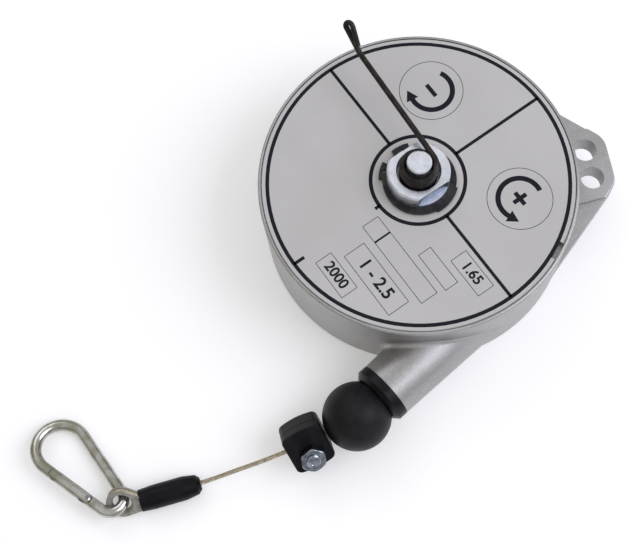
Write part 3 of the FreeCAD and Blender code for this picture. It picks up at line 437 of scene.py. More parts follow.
@dataclass(frozen=True)
class TurnedFinish:
    """Zinc-plated turned steel: rings left by the tool, and spanner flats with a painted dark blue
    reflection.
    """

    name: str = "turned_zinc"
    light: Colour = (0.80, 0.83, 0.90)
    dark: Colour = (0.68, 0.70, 0.76)
    # painted reflection: the dark blue that the spanner flats reflect, put into their colour
    flat_painted_reflection: Colour = (0.085, 0.13, 0.21)
    flat_reflection_cloud: float = 0.15
    roughness: float = 0.32
    cloud: Pattern = Pattern(260.0, 4.0, 0.3, 0.75)
    pitch: float = 0.45 * MM
    wander: float = 0.3 * MM
    wander_scale: float = 500.0
    ring_rise: float = 0.5
    ring_rough: float = 0.05
    cloud_rough: float = 0.16
    relief: float = 0.01 * MM
    flat: float = 10.8 * MM
    flat_turn: float = -8.5
    flat_depth: float = 0.04 * MM
    above: float = 45.0 * MM
    edge: float = 0.1 * MM
    grain: float = 2500.0

    def material(self) -> bpy.types.Material:
        """Builds the material.

        Returns:
            The material.
        """
        graph = MaterialGraph(self.name)
        x, y, z = graph.axes(graph.coords())
        radius = (x * x + y * y).root()
        wander = graph.noise(self.wander_scale, 2.0) * self.wander
        rings = ((radius + z + wander) * (2 * math.pi / self.pitch)).sine().lifted()
        cloud = self.cloud.on(graph)
        turn = math.radians(self.flat_turn)
        out = abs(x * math.cos(turn) + y * math.sin(turn))
        near_flat = (abs(out - self.flat) / self.flat_depth).smooth(1.0, 0.5)
        flat_reflection_mask = near_flat * z.smooth(self.above, self.above + self.edge)
        colour = graph.mix(cloud, self.dark, self.light)
        # painted reflection on the spanner flats, a little weaker where the cloud is
        colour = graph.mix(flat_reflection_mask * (1 - self.flat_reflection_cloud * cloud), colour, self.flat_painted_reflection)
        rough = self.roughness + cloud.swing(self.cloud_rough) + self.ring_rough * rings
        height = rings * self.ring_rise + graph.noise(self.grain, 2.0)
        return graph.finish(Base_Color=colour, Metallic=1.0, Roughness=rough,
                            Normal=graph.bump(height, self.relief))


@dataclass(frozen=True)
class PlatedFinish:
    """Bright plated steel with a soft cloudiness."""

    name: str = "bright_zinc"
    light: Colour = (0.34, 0.37, 0.42)
    dark: Colour = (0.16, 0.18, 0.21)
    roughness: float = 0.17
    cloud: float = 400.0
    cloud_rough: float = 0.12
    cloud_rise: float = 0.4
    scratches: float = 5000.0
    scratch_rough: float = 0.08
    brushing: Point = (0.12, 1.0, 1.0)
    relief: float = 0.012 * MM

    def material(self) -> bpy.types.Material:
        """Builds the material.

        Returns:
            The material.
        """
        graph = MaterialGraph(self.name)
        cloud = Pattern(self.cloud).on(graph)
        scratch = graph.brushed(self.scratches, self.brushing)
        colour = graph.mix(cloud, self.dark, self.light)
        rough = self.roughness + cloud.swing(self.cloud_rough) + scratch.swing(self.scratch_rough)
        return graph.finish(Base_Color=colour, Metallic=1.0, Roughness=rough,
                            Normal=graph.bump(cloud * self.cloud_rise + scratch, self.relief))


@dataclass(frozen=True)
class OxideFinish:
    """Oil-blackened steel, worn to brown where it is touched."""

    name: str = "blackened_steel"
    light: Colour = (0.062, 0.053, 0.047)
    dark: Colour = (0.012, 0.011, 0.010)
    roughness: float = 0.42
    metallic: float = 0.55
    specular: float = 0.3
    wear: Pattern = Pattern(180.0, 5.0, 0.42, 0.72, 0.6)
    wear_weight: float = 0.7
    wear_gloss: float = 0.1
    wear_rise: float = 0.4
    grain: float = 3000.0
    grain_weight: float = 0.2
    grain_rough: float = 0.12
    relief: float = 0.02 * MM

    def material(self) -> bpy.types.Material:
        """Builds the material.

        Returns:
            The material.
        """
        graph = MaterialGraph(self.name)
        wear = self.wear.on(graph)
        fine = graph.noise(self.grain, 2.0)
        blend = wear * self.wear_weight + fine * self.grain_weight
        colour = graph.mix(blend, self.dark, self.light)
        rough = self.roughness - self.wear_gloss * wear + fine.swing(self.grain_rough)
        return graph.finish(Base_Color=colour, Metallic=self.metallic, Roughness=rough,
                            Specular_IOR_Level=self.specular,
                            Normal=graph.bump(fine + wear * self.wear_rise, self.relief))


@dataclass(frozen=True)
class RubberFinish:
    """Black moulded rubber with a dusty bloom and a fine skin."""

    name: str = "moulded_rubber"
    dark: Colour = (0.005, 0.005, 0.006)
    bloom: Colour = (0.020, 0.020, 0.022)
    roughness: float = 0.5
    specular: float = 0.18
    dust: Pattern = Pattern(140.0, 5.0, 0.38, 0.75, 0.6)
    dust_weight: float = 0.6
    dust_rough: float = 0.15
    skin: float = 2600.0
    skin_weight: float = 0.15
    skin_rough: float = 0.1
    depth: float = 0.03 * MM

    def material(self) -> bpy.types.Material:
        """Builds the material.

        Returns:
            The material.
        """
        graph = MaterialGraph(self.name)
        dust = self.dust.on(graph)
        skin = graph.noise(self.skin, 3.0)
        blend = dust * self.dust_weight + skin * self.skin_weight
        colour = graph.mix(blend, self.dark, self.bloom)
        rough = self.roughness + dust.swing(self.dust_rough) + skin.swing(self.skin_rough)
        return graph.finish(Base_Color=colour, Roughness=rough, Specular_IOR_Level=self.specular,
                            Normal=graph.bump(skin, self.depth))


@dataclass(frozen=True)
class RopeFinish:
    """Steel rope strand, olive brown with grease between the wires."""

    name: str = "steel_rope"
    wire: Colour = (0.52, 0.46, 0.34)
    grease: Colour = (0.20, 0.17, 0.12)
    metallic: float = 0.8
    roughness: float = 0.36
    grime: Pattern = Pattern(700.0, 4.0, 0.4, 0.7)
    grime_weight: float = 0.6
    grime_rough: float = 0.2
    grain: float = 9000.0
    grain_rough: float = 0.1
    relief: float = 0.02 * MM

    def material(self) -> bpy.types.Material:
        """Builds the material.

        Returns:
            The material.
        """
        graph = MaterialGraph(self.name)
        grime = self.grime.on(graph)
        fine = graph.noise(self.grain, 2.0)
        colour = graph.mix(grime * self.grime_weight, self.wire, self.grease)
        rough = self.roughness + self.grime_rough * grime + fine.swing(self.grain_rough)
        return graph.finish(Base_Color=colour, Metallic=self.metallic, Roughness=rough,
                            Normal=graph.bump(fine, self.relief))


@dataclass(frozen=True)
class MouldedFinish:
    """Light moulded plastic or matt grey metal, slightly soiled."""

    name: str = "grey_moulding"
    light: Colour = (0.36, 0.345, 0.31)
    dark: Colour = (0.20, 0.18, 0.14)
    metallic: float = 0.0
    roughness: float = 0.5
    soil: Pattern = Pattern(350.0, 4.0, 0.4, 0.75)
    soil_weight: float = 0.8
    soil_rough: float = 0.1
    skin: float = 3500.0
    skin_rough: float = 0.1
    relief: float = 0.02 * MM

    def material(self) -> bpy.types.Material:
        """Builds the material.

        Returns:
            The material.
        """
        graph = MaterialGraph(self.name)
        soil = self.soil.on(graph)
        skin = graph.noise(self.skin, 2.0)
        colour = graph.mix(soil * self.soil_weight, self.light, self.dark)
        rough = self.roughness + skin.swing(self.skin_rough) + soil.swing(self.soil_rough)
        return graph.finish(Base_Color=colour, Metallic=self.metallic, Roughness=rough,
                            Normal=graph.bump(skin, self.relief))


# ---------------- mesh helpers
def dress(piece: bpy.types.Object, material: bpy.types.Material) -> None:
    """Gives a piece one material."""
    piece.data.materials.clear()
    piece.data.materials.append(material)


def dress_nodes(material: bpy.types.Material, *nodes: str) -> None:
    """Gives CAD nodes one material and reports them.

    Args:
        material: their finish.
        nodes: their names.
    """
    for node in nodes:
        dress(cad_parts[node], material)
        LOG.info("dressed %s in %s", node, material.name)


def shade(mesh: bpy.types.Mesh, smooth: bool) -> None:
    """Shades all faces of a mesh smooth or flat."""
    for polygon in mesh.polygons:
        polygon.use_smooth = smooth


def add_spline(data: bpy.types.Curve, kind: str, points: Sequence[Vector]) -> bpy.types.Spline:
    """Adds a spline to a curve.

    Args:
        data: the curve that gets it.
        kind: the spline's type.
        points: its control points.

    Returns:
        The new spline.
    """
    spline = data.splines.new(kind)
    spline.points.add(len(points) - 1)
    for slot, point in zip(spline.points, points):
        slot.co = (*point, 1.0)
    return spline


def curve_mesh(data: bpy.types.Curve) -> bpy.types.Mesh:
    """Turns a curve or figures into a mesh.

    Args:
        data: the curve, which is removed.

    Returns:
        The mesh.
    """
    holder = bpy.data.objects.new(data.name, data)
    mesh = bpy.data.meshes.new_from_object(holder)
    bpy.data.objects.remove(holder)
    bpy.data.curves.remove(data)
    return mesh


def mesh_piece(name: str, bm: bmesh.types.BMesh, body: str,
               material: bpy.types.Material) -> bpy.types.Object:
    """Makes a flat-shaded object from a bmesh and lets it ride on a body.

    Args:
        name: the piece's name.
        bm: the finished bmesh, which is freed.
        body: the CAD body that carries it.
        material: its finish.

    Returns:
        The new object.
    """
    bmesh.ops.remove_doubles(bm, verts=bm.verts, dist=WELD)
    bmesh.ops.recalc_face_normals(bm, faces=bm.faces)
    mesh = bpy.data.meshes.new(name)
    bm.to_mesh(mesh)
    bm.free()
    shade(mesh, False)
    piece = bpy.data.objects.new(name, mesh)
    bpy.context.scene.collection.objects.link(piece)
    dress(piece, material)
    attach(piece, body)
    LOG.info("made %s: %d faces on %s", name, len(mesh.polygons), body)
    return piece


def ring_corners(bm: bmesh.types.BMesh, radii: Span, heights: Span, centre: Vector,
                 start: float = 0.0) -> list[bmesh.types.BMVert]:
    """Adds the corners of a flat ring's section.

    Args:
        bm: the bmesh that gets them.
        radii: inner and outer radius.
        heights: lower and upper face.
        centre: the middle of the ring.
        start: direction of the section, in degrees.

    Returns:
        The four corners, in order.
    """
    (inner, outer), (low, high) = radii, heights
    turn = Matrix.Rotation(math.radians(start), 3, "Z")
    return [bm.verts.new(centre + turn @ Vector((radius, 0.0, height)))
            for radius, height in ((inner, low), (outer, low), (outer, high), (inner, high))]


def spun_ring(bm: bmesh.types.BMesh, radii: Span, heights: Span, centre: Vector = Vector(),
              steps: int = 96) -> None:
    """Adds a closed flat ring by spinning its section.

    Args:
        bm: the bmesh that gets it.
        radii: inner and outer radius.
        heights: lower and upper face.
        centre: the middle of the ring.
        steps: facets round it.
    """
    verts = ring_corners(bm, radii, heights, centre)
    edges = [bm.edges.new(pair) for pair in zip(verts, verts[1:] + verts[:1])]
    bmesh.ops.spin(bm, geom=verts + edges, cent=centre, axis=UP, angle=2 * math.pi, steps=steps,
                   use_merge=True)


def spun_arc(bm: bmesh.types.BMesh, radii: Span, heights: Span, centre: Vector, start: float,
             sweep: float, steps: int = 32) -> None:
    """Adds a closed part of a flat ring.

    Args:
        bm: the bmesh that gets it.
        radii: inner and outer radius.
        heights: lower and upper face.
        centre: the middle of the ring.
        start: direction of its first end, in degrees.
        sweep: how far it goes, in degrees.
        steps: facets along it.
    """
    face = bm.faces.new(ring_corners(bm, radii, heights, centre, start))
    bmesh.ops.spin(bm, geom=[face], cent=centre, axis=UP, angle=math.radians(sweep), steps=steps)


def turned_solid(bm: bmesh.types.BMesh, section: Sequence[Span], steps: int = 64) -> None:
    """Adds a closed turned solid about Z.

    Args:
        bm: the bmesh that gets it.
        section: radius and height of its corners, from the axis round and back to the axis.
        steps: facets round it.
    """
    verts = [bm.verts.new((radius, 0.0, height)) for radius, height in section]
    edges = [bm.edges.new(pair) for pair in zip(verts, verts[1:])]
    bmesh.ops.spin(bm, geom=verts + edges, cent=(0.0, 0.0, 0.0), axis=UP, angle=2 * math.pi,
                   steps=steps, use_merge=True)
    bmesh.ops.remove_doubles(bm, verts=bm.verts, dist=WELD)


def bar(bm: bmesh.types.BMesh, start: Vector, end: Vector, width: float, heights: Span) -> None:
    """Adds a straight flat bar between two points.

    Args:
        bm: the bmesh that gets it.
        start: one end of its middle line.
        end: the other end.
        width: its width.
        heights: lower and upper face.
    """
    low, high = heights
    run = end - start
    middle = (start + end) / 2
    place = Matrix.Translation((middle.x, middle.y, (low + high) / 2))
    turn = Matrix.Rotation(math.atan2(run.y, run.x), 4, "Z")
    size = Matrix.Diagonal((run.length, width, high - low, 1.0))
    bmesh.ops.create_cube(bm, size=1.0, matrix=place @ turn @ size)


def plate(bm: bmesh.types.BMesh, outline: Iterable[Vector], heights: Span) -> None:
    """Adds a flat plate.

    Args:
        bm: the bmesh that gets it.
        outline: its corners seen from above.
        heights: lower and upper face.
    """
    low, high = heights
    face = bm.faces.new([bm.verts.new((point.x, point.y, low)) for point in outline])
    made = bmesh.ops.extrude_face_region(bm, geom=[face])
    top = [item for item in made["geom"] if isinstance(item, bmesh.types.BMVert)]
    bmesh.ops.translate(bm, verts=top, vec=(0.0, 0.0, high - low))


# ---------------- studio
@dataclass(frozen=True)
class Lamp:
    """A soft square lamp that faces the origin."""

    place: Point
    size: float
    watts: float


@dataclass
class Studio:
    """Camera, pale floor and soft light."""

    camera_at: Point = (0.1308, -0.1476, 0.5322)
    camera_right: Point = (0.67265, 0.73884, -0.04051)
    camera_up: Point = (-0.69596, 0.65031, 0.30452)
    lens: float = 70.56
    sensor: float = 36.0
    nearest: float = 0.01
    floor_size: float = 6.0
    floor_gap: float = 0.05 * MM
    floor_colour: Colour = (0.88, 0.88, 0.88)
    floor_roughness: float = 0.9
    floor_specular: float = 0.1
    floor_glow: float = 0.27
    far_floor: Span = (0.35, 1.5)
    far_glow: float = 0.5
    zenith: Colour = (0.99, 0.98, 0.975)
    overhead: Span = (0.15, 0.95)
    cool_side: Colour = (0.60, 0.61, 0.72)
    warm_side: Colour = (0.20, 0.185, 0.115)
    cool_way: Span = (0.55, 0.83)
    warm_to_cool: Span = (-0.9, 0.9)
    sky_strength: float = 0.72
    glossy_white: float = 0.25
    lamp_colour: Colour = (0.86, 0.87, 1.0)
    lamps: tuple[Lamp, ...] = (
        Lamp((0.9, 0.75, 1.3), 1.2, 14.0),
        Lamp((-1.1, 0.2, 1.1), 0.8, 2.5),
    )

    def make_camera(self) -> None:
        """Places the camera at the viewing angle."""
        data = bpy.data.cameras.new("camera")
        data.lens = self.lens
        data.sensor_width = self.sensor
        data.clip_start = self.nearest
        camera = bpy.data.objects.new("camera", data)
        bpy.context.scene.collection.objects.link(camera)
        right = Vector(self.camera_right).normalized()
        upward = Vector(self.camera_up)
        back = right.cross(upward).normalized()
        upward = back.cross(right)
        turn = Matrix((right, upward, back)).transposed()
        camera.matrix_world = Matrix.Translation(self.camera_at) @ turn.to_4x4()
        bpy.context.scene.camera = camera
        LOG.info("camera placed")

    def make_floor(self) -> None:
        """Lays the floor, which shows white but keeps the object's shadow."""
        bm = bmesh.new()
        bmesh.ops.create_grid(bm, x_segments=1, y_segments=1, size=self.floor_size / 2)
        mesh = bpy.data.meshes.new("floor")
        bm.to_mesh(mesh)
        bm.free()
        floor = bpy.data.objects.new("floor", mesh)
        bpy.context.scene.collection.objects.link(floor)
        floor.location.z = CAD_BOX[0][2] - self.floor_gap
        dress(floor, self.floor_material())
        LOG.info("floor laid")

    def floor_material(self) -> bpy.types.Material:
        """Pale matt floor with a glow that only the camera, glass and reflections see.

        Returns:
            The material.
        """
        graph = MaterialGraph("pale_floor")
        graph.finish(Base_Color=self.floor_colour, Roughness=self.floor_roughness,
                     Specular_IOR_Level=self.floor_specular)
        x, y, _ = graph.axes(graph.coords())
        away = (x * x + y * y).root().smooth(*self.far_floor)
        strength = graph.seen() * (self.floor_glow + away * self.far_glow)
        glow = graph.node("ShaderNodeEmission", {}, {"Strength": strength})
        graph.show(graph.node("ShaderNodeAddShader", {}, {
            0: graph.shader.outputs[0], 1: glow.outputs[0]}))
        return graph.material

    def make_light(self) -> None:
        """Hangs the soft lamps and fills the rest from the sky."""
        for index, lamp in enumerate(self.lamps):
            data = bpy.data.lights.new("lamp_%d" % index, "AREA")
            data.size = lamp.size
            data.energy = lamp.watts
            data.color = self.lamp_colour
            light = bpy.data.objects.new(data.name, data)
            light.location = lamp.place
            light.rotation_mode = "QUATERNION"
            light.rotation_quaternion = (-Vector(lamp.place)).to_track_quat("-Z", "Y")
            bpy.context.scene.collection.objects.link(light)
        self.make_sky()
        bpy.context.scene.view_settings.view_transform = "Standard"
        LOG.info("lit by %d lamps and the sky", len(self.lamps))

    def make_sky(self) -> None:
        """Makes a sky bright overhead, and cool on one side and warm on the other lower down."""
        world = bpy.data.worlds.new("studio")
        bpy.context.scene.world = world
        world.use_nodes = True
        graph = Graph(world.node_tree, "ShaderNodeOutputWorld")
        way = graph.node("ShaderNodeTexCoord", {}, {}).outputs["Generated"]
        x, y, z = graph.axes(way)
        sideways = x * self.cool_way[0] + y * self.cool_way[1]
        low = graph.mix(sideways.smooth(*self.warm_to_cool), self.warm_side, self.cool_side)
        colour = graph.mix(z.smooth(*self.overhead), low, self.zenith)
        sky, white = (graph.node("ShaderNodeBackground", {}, {"Color": shown, "Strength": strength})
                      for shown, strength in ((colour, self.sky_strength), (WHITE, 1.0)))
        graph.show(graph.node("ShaderNodeMixShader", {}, {
            0: graph.seen(self.glossy_white), 1: sky.outputs[0], 2: white.outputs[0]}))


# ---------------- rope
@dataclass
class StrandedRope:
    """Steel rope of a few round strands laid about a core."""

    diameter: float = 2.0 * MM
    strands: int = 6
    strand_share: float = 0.345
    lay: float = 9.0 * MM
    steps_per_lay: int = 14
    strand_facets: int = 2
    route_steps: int = 24

    def route(self, points: Sequence[Vector]) -> list[Vector]:
        """Reads the smooth centre line off a spline.

        Args:
            points: the spline's control points.

        Returns:
            Points along the line.
        """
        data = bpy.data.curves.new("route", "CURVE")
        data.dimensions = "3D"
        spline = add_spline(data, "NURBS", points)
        spline.order_u = 3
        spline.use_endpoint_u = True
        spline.resolution_u = self.route_steps
        mesh = curve_mesh(data)
        line = [vertex.co.copy() for vertex in mesh.vertices]
        bpy.data.meshes.remove(mesh)
        return line

    def evenly(self, line: Sequence[Vector], step: float) -> list[Vector]:
        """Spaces points evenly along a line.

        Args:
            line: the line's corners.
            step: about how far apart the points are.

        Returns:
            The points, with both ends of the line.
        """
        marks = [0.0]
        for before, after in zip(line, line[1:]):
            marks.append(marks[-1] + (after - before).length)
        count = max(2, round(marks[-1] / step))
        placed = []
        index = 0
        for number in range(count + 1):
            along = marks[-1] * number / count
            while index < len(marks) - 2 and marks[index + 1] < along:
                index += 1
            share = (along - marks[index]) / max(marks[index + 1] - marks[index], TINY)
            placed.append(line[index].lerp(line[index + 1], min(share, 1.0)))
        return placed

    def strand_mesh(self, name: str, line: Sequence[Vector]) -> bpy.types.Mesh:
        """Lays the strands along a line.

        Args:
            name: the mesh's name.
            line: the rope's centre line.

        Returns:
            One mesh of all strands and the core.
        """
        centre = self.evenly(line, self.lay / self.steps_per_lay)
        strand_r = self.diameter / 2 * self.strand_share
        helix_r = self.diameter / 2 - strand_r
        paths: list[list[Vector]] = [[] for _ in range(self.strands)]
        side = UP
        along = 0.0
        for index, point in enumerate(centre):
            before = centre[max(index - 1, 0)]
            ahead = (centre[min(index + 1, len(centre) - 1)] - before).normalized()
            side = (side - ahead * side.dot(ahead)).normalized()
            across = ahead.cross(side)
            along += (point - before).length
            for strand, path in enumerate(paths):
                turn = 2 * math.pi * (along / self.lay + strand / self.strands)
                path.append(point + (side * math.cos(turn) + across * math.sin(turn)) * helix_r)
        data = bpy.data.curves.new(name, "CURVE")
        data.dimensions = "3D"
        data.bevel_depth = strand_r
        data.bevel_resolution = self.strand_facets
        data.use_fill_caps = True
        for path in paths + [centre]:
            add_spline(data, "POLY", path)
        mesh = curve_mesh(data)
        mesh.name = name
        shade(mesh, True)
        return mesh

    def piece(self, name: str, line: Sequence[Vector],
              material: bpy.types.Material) -> bpy.types.Object:
        """Makes a rope object along a line, still riding on nothing.

        Args:
            name: the piece's name.
            line: the rope's centre line.
            material: its finish.

        Returns:
            The new object.
        """
        rope = bpy.data.objects.new(name, self.strand_mesh(name, line))
        bpy.context.scene.collection.objects.link(rope)
        dress(rope, material)
        LOG.info("made %s: %d faces", name, len(rope.data.polygons))
        return rope


@dataclass
class RopeEnd:
    """The rope outside the drum: the tube run, the free rope and what is fixed on it.

    The free route, the nut's face and the bolt's section (radius, height) are in millimetres.
    """

    rope: StrandedRope = field(default_factory=StrandedRope)
    free_route: tuple[Point, ...] = (
        (42.5, -114.0, 14.7), (38.4, -124.0, 12.2), (33.2, -134.5, 9.2), (28.2, -145.3, 6.0),
        (22.46, -157.2, 5.47))
    tube_line: Span = (52.1 * MM, 19.2 * MM)
    run_start: float = -30.0 * MM
    run_end: float = -83.0 * MM
    nut_face: Point = (53.9623, -109.102, 20.271)
    nut_axis: Point = (0.607538, -0.298826, 0.735935)
    bolt_end: tuple[Span, ...] = (
        (0.0, 0.2), (2.95, 0.2), (2.95, 0.4), (2.35, 0.9), (1.75, 0.9), (1.45, 0.62), (0.0, 0.62))
    bolt_point: PlatedFinish = PlatedFinish(
        "bolt_point_zinc", light=(0.42, 0.45, 0.50), dark=(0.20, 0.22, 0.25), roughness=0.12)
    sleeve: RubberFinish = RubberFinish(
        "sleeve_rubber", dark=(0.003, 0.003, 0.004), bloom=(0.012, 0.012, 0.014), roughness=0.42,
        specular=0.13, skin=1400.0, depth=0.05 * MM)
    nylon: RubberFinish = RubberFinish(
        "clamp_nylon", dark=(0.004, 0.004, 0.005), bloom=(0.016, 0.016, 0.02), roughness=0.38,
        specular=0.14, skin=1800.0, depth=0.02 * MM)
    crimp: MouldedFinish = MouldedFinish("crimped_ferrule", metallic=0.9, roughness=0.35)

    def make_free_rope(self, material: bpy.types.Material) -> None:
        """Lays the free rope between the clamp and the ferrule.

        Args:
            material: the rope's finish.
        """
        points = [Vector(point) * MM for point in self.free_route]
        line = self.rope.route(points)
        rope = self.rope.piece("free_rope", line, material)
        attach(rope, "rope_end")
        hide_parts("rope_tail")

    def make_tube_run(self, material: bpy.types.Material) -> None:
        """Lays a straight run of rope in the tube.

        Args:
            material: the rope's finish.
        """
        x, z = self.tube_line
        start = Vector((x, self.run_start, z))
        end = Vector((x, self.run_end, z))
        run = self.rope.piece("tube_rope", [start, end], material)
        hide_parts("rope_lead")
        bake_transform(run)

    def make_bolt_end(self, material: bpy.types.Material) -> None:
        """Turns the bolt's chamfered, slightly dished end where it stands out of the nut.

        Args:
            material: the bolt's finish.
        """
        bm = bmesh.new()
        turned_solid(bm, [(radius * MM, height * MM) for radius, height in self.bolt_end])
        turn = UP.rotation_difference(Vector(self.nut_axis)).to_matrix().to_4x4()
        place = Matrix.Translation(Vector(self.nut_face) * MM) @ turn
        bmesh.ops.transform(bm, matrix=place, verts=bm.verts)
        mesh_piece("bolt_end", bm, "rope_end", material)

    def build(self, rope: bpy.types.Material) -> None:
        """Makes both stretches of rope and dresses the pieces on them.

        Args:
            rope: the rope's finish.
        """
        self.make_free_rope(rope)
        self.make_tube_run(rope)
        self.make_bolt_end(self.bolt_point.material())
        dress_nodes(RubberFinish().material(), "rubber_ball")
        dress_nodes(self.sleeve.material(), "rubber_sleeve")
        dress_nodes(self.nylon.material(), "clamp_half_front", "clamp_half_back")
        dress_nodes(PlatedFinish().material(), "clamp_bolt", "clamp_nut")
        dress_nodes(MouldedFinish().material(), "thimble")
        dress_nodes(rope, "rope_eye")
        dress_nodes(self.crimp.material(), "ferrule")


# ---------------- spring hook
@dataclass
class SpringHook:
    """Snap hook of bright plated wire with its gate and rivet."""

    wire: PlatedFinish = PlatedFinish(
        "hook_plating", light=(0.52, 0.515, 0.485), dark=(0.31, 0.30, 0.235), roughness=0.07,
        cloud=160.0)
    rivet: PlatedFinish = PlatedFinish("rivet_zinc")

    def build(self) -> None:
        """Dresses the hook's pieces."""
        dress_nodes(self.wire.material(), "hook_body", "hook_gate")
        dress_nodes(self.rivet.material(), "gate_pin")


# ---------------- printed dial
class Sign(Enum):
    """What a turning mark stands for, by the way its arrow turns."""

    MORE = 1
    LESS = -1


@dataclass(frozen=True)
class Figures:
    """Plain figures and where they stand, in shares of the outer ring's radius."""

    text: str
    place: Span
    height: float


@dataclass
class PrintedDial:
    """Rings, dividers, boxes, plain figures and two turning marks printed on the foil.

    Places and the ends of the ticks are shares of the outer ring's radius, and an arrow's sizes
    are shares of its mark's radius or of its own thickness.
    """

    top: float = 44.5 * MM
    ink: float = 0.03 * MM
    sink: float = 0.02 * MM
    turn: float = -7.08
    outer_r: float = 63.0 * MM
    outer_width: float = 1.6 * MM
    inner_r: float = 19.73 * MM
    inner_width: float = 1.6 * MM
    line: float = 1.4 * MM
    hair: float = 0.24 * MM
    ticks: Span = (0.35, 0.92)
    boxes: tuple[tuple[Span, Span], ...] = (
        ((0.58, 0.873), (-0.166, -0.044)), ((0.427, 0.72), (-0.313, -0.216)),
        ((0.054, 0.699), (-0.49, -0.366)), ((0.15, 0.64), (-0.707, -0.549)),
        ((0.077, 0.369), (-0.883, -0.761)))
    split: tuple[Span, Span] = ((0.189, -0.49), (0.189, -0.366))
    split_share: float = 0.6
    figures: tuple[Figures, ...] = (
        Figures("1.65", (0.727, -0.105), 4.3 * MM),
        Figures("1 - 2.5", (0.395, -0.628), 5.2 * MM),
        Figures("2000", (0.223, -0.822), 4.4 * MM))
    cap_share: float = 0.7
    bold_share: float = 0.035
    marks: tuple[tuple[Span, Sign], ...] = (
        ((-0.469, 0.46), Sign.LESS), ((0.501, 0.46), Sign.MORE))
    mark_r: float = 13.7 * MM
    arrow_r: float = 0.66
    arrow_thick: float = 0.16
    arrow_lead: float = 20.0
    arrow_sweep: float = 215.0
    head_half: float = 1.25
    head_length: float = 2.2
    sign_reach: float = 0.24
    sign_stroke: float = 0.85

    def heights(self) -> Span:
        """Under and upper side of the ink."""
        return self.top - self.sink, self.top + self.ink

    def at(self, x: float, y: float) -> Vector:
        """A point from its place on the dial, in shares of the outer ring's radius."""
        turn = Matrix.Rotation(math.radians(self.turn), 3, "Z")
        return turn @ Vector((x, y, 0.0)) * self.outer_r

    def rule(self, bm: bmesh.types.BMesh, start: Span, end: Span, width: float) -> None:
        """Adds a straight line from place to place."""
        bar(bm, self.at(*start), self.at(*end), width, self.heights())

    def rings(self, bm: bmesh.types.BMesh) -> None:
        """Adds the two rings, the three dividers and the ticks.

        Args:
            bm: the bmesh that gets them.
        """
        for radius, width in ((self.outer_r, self.outer_width), (self.inner_r, self.inner_width)):
            spun_ring(bm, (radius - width / 2, radius + width / 2), self.heights())
        inner = self.inner_r / self.outer_r
        for x, y in ((1, 0), (0, 1), (-1, 0)):
            self.rule(bm, (inner * x, inner * y), (x, y), self.line)
        self.rule(bm, (0, -self.ticks[1]), (0, -1), self.line)
        self.rule(bm, (0, -inner), (0, -self.ticks[0]), self.line)

    def box(self, bm: bmesh.types.BMesh, x: Span, y: Span) -> None:
        """Adds a thin frame for an entry.

        Args:
            bm: the bmesh that gets it.
            x: its left and right side.
            y: its lower and upper side.
        """
        corners = [(x[0], y[0]), (x[1], y[0]), (x[1], y[1]), (x[0], y[1])]
        for start, end in zip(corners, corners[1:] + corners[:1]):
            self.rule(bm, start, end, self.hair)

    def entry(self, bm: bmesh.types.BMesh, figures: Figures) -> None:
        """Adds plain figures.

        Args:
            bm: the bmesh that gets them.
            figures: what they say, where and how high.
        """
        data = bpy.data.curves.new("figures", "FONT")
        data.body = figures.text
        data.align_x = "CENTER"
        data.align_y = "CENTER"
        data.size = figures.height / self.cap_share
        data.offset = figures.height * self.bold_share
        data.extrude = (self.ink + self.sink) / 2
        mesh = curve_mesh(data)
        middle = self.at(*figures.place) + UP * sum(self.heights()) / 2
        turn = Matrix.Rotation(math.radians(self.turn), 4, "Z")
        mesh.transform(Matrix.Translation(middle) @ turn)
        bm.from_mesh(mesh)
        bpy.data.meshes.remove(mesh)

    def arrow(self, bm: bmesh.types.BMesh, centre: Vector, way: int) -> None:
        """Adds a thick curved arrow.

        Args:
            bm: the bmesh that gets it.
            centre: the middle of its curve.
            way: 1 if it turns anticlockwise, -1 if clockwise.
        """
        radius = self.arrow_r * self.mark_r
        thick = self.arrow_thick * self.mark_r
        start, sweep = 90.0 - self.arrow_lead * way, self.arrow_sweep * way
        spun_arc(bm, (radius - thick / 2, radius + thick / 2), self.heights(), centre, start, sweep)
        tip_turn = math.radians(start + sweep)
        radial = Vector((math.cos(tip_turn), math.sin(tip_turn), 0.0))
        ahead = Vector((-radial.y, radial.x, 0.0)) * way
        foot = centre + radial * radius
        barb = radial * thick * self.head_half
        tip = foot + ahead * thick * self.head_length
        plate(bm, [foot - barb, foot + barb, tip], self.heights())

    def sign(self, bm: bmesh.types.BMesh, centre: Vector, sign: Sign) -> None:
        """Adds a plus or a minus, of bars that meet and don't overlap.

        Args:
            bm: the bmesh that gets it.
            centre: its middle.
            sign: whether it is a plus or a minus.
        """
        reach = self.sign_reach * self.mark_r
        stroke = self.arrow_thick * self.mark_r * self.sign_stroke
        across = self.at(1, 0).normalized()
        bar(bm, centre - across * reach, centre + across * reach, stroke, self.heights())
        if sign is Sign.MORE:
            along = self.at(0, 1).normalized()
            for side in (-1, 1):
                bar(bm, centre + along * (side * stroke / 2), centre + along * (side * reach),
                    stroke, self.heights())

    def turning_mark(self, bm: bmesh.types.BMesh, place: Span, sign: Sign) -> None:
        """Adds a thin circle with a curved arrow in it and a plus or minus in the middle.

        Args:
            bm: the bmesh that gets it.
            place: its middle on the dial.
            sign: whether turning that way gives more or less force.
        """
        centre = self.at(*place)
        spun_ring(bm, (self.mark_r - self.hair, self.mark_r), self.heights(), centre)
        self.arrow(bm, centre, sign.value)
        self.sign(bm, centre, sign)

    def build(self) -> None:
        """Prints the dial."""
        bm = bmesh.new()
        self.rings(bm)
        for x, y in self.boxes:
            self.box(bm, x, y)
        self.rule(bm, *self.split, self.line * self.split_share)
        for figures in self.figures:
            self.entry(bm, figures)
        for place, sign in self.marks:
            self.turning_mark(bm, place, sign)
        mesh_piece("dial_print", bm, "balancer", InkFinish().material())


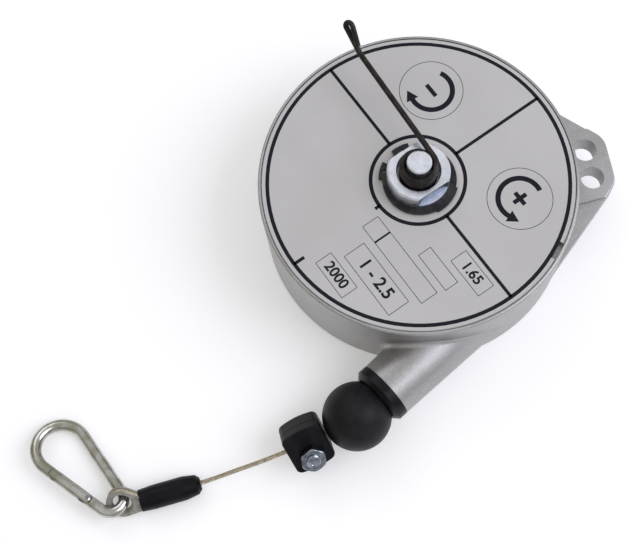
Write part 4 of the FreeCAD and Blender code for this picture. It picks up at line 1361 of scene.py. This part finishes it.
# ---------------- casing and mechanism
@dataclass
class Casing:
    """Housing, cover, foil and rope bush."""

    dial: PrintedDial = field(default_factory=PrintedDial)
    bush: RubberFinish = RubberFinish("bush_nylon", roughness=0.34, specular=0.14,
                                      depth=0.02 * MM)

    def build(self) -> None:
        """Dresses the casing and prints its dial."""
        dress_nodes(CastFinish().material(), "housing_casting", "cover_plate")
        dress_nodes(FoilFinish().material(), "rating_label")
        dress_nodes(self.bush.material(), "rope_guide_bush")
        self.dial.build()


@dataclass
class Mechanism:
    """Arbor, pin, release lever, clip and what is hidden in the drum."""

    clip: OxideFinish = OxideFinish("phosphated_ring", light=(0.05, 0.048, 0.05),
                                    dark=(0.016, 0.016, 0.018), roughness=0.36)
    spring: OxideFinish = OxideFinish("spring_strip", light=(0.2, 0.2, 0.21),
                                      dark=(0.08, 0.08, 0.09), metallic=0.9)
    drum: CastFinish = CastFinish("drum_casting", mould_line=1.0, grain=3000.0)
    bush: PlatedFinish = PlatedFinish("sintered_bronze", light=(0.6, 0.43, 0.22),
                                      dark=(0.4, 0.27, 0.13), roughness=0.4)

    def build(self, rope: bpy.types.Material) -> None:
        """Dresses the mechanism's pieces.

        Args:
            rope: the rope's finish.
        """
        dress_nodes(TurnedFinish().material(), "arbor", "axle_pin")
        dress_nodes(OxideFinish().material(), "release_lever")
        dress_nodes(self.clip.material(), "arbor_clip")
        dress_nodes(self.spring.material(), "mainspring")
        dress_nodes(PlatedFinish("stud_zinc").material(), "thrust_washer", "drum_stud",
                    "arbor_stud")
        dress_nodes(self.drum.material(), "rope_drum", "drum_lid")
        dress_nodes(self.bush.material(), "drum_bush")
        dress_nodes(rope, "rope_winding")


def main() -> None:
    """Builds the studio, then the balancer's looks sub-assembly by sub-assembly."""
    logging.basicConfig(level=logging.INFO, format="%(name)s: %(message)s")
    studio = Studio()
    studio.make_camera()
    rope = RopeFinish().material()
    RopeEnd().build(rope)
    Casing().build()
    Mechanism().build(rope)
    SpringHook().build()
    studio.make_floor()
    studio.make_light()


if __name__ == "__main__":
    main()
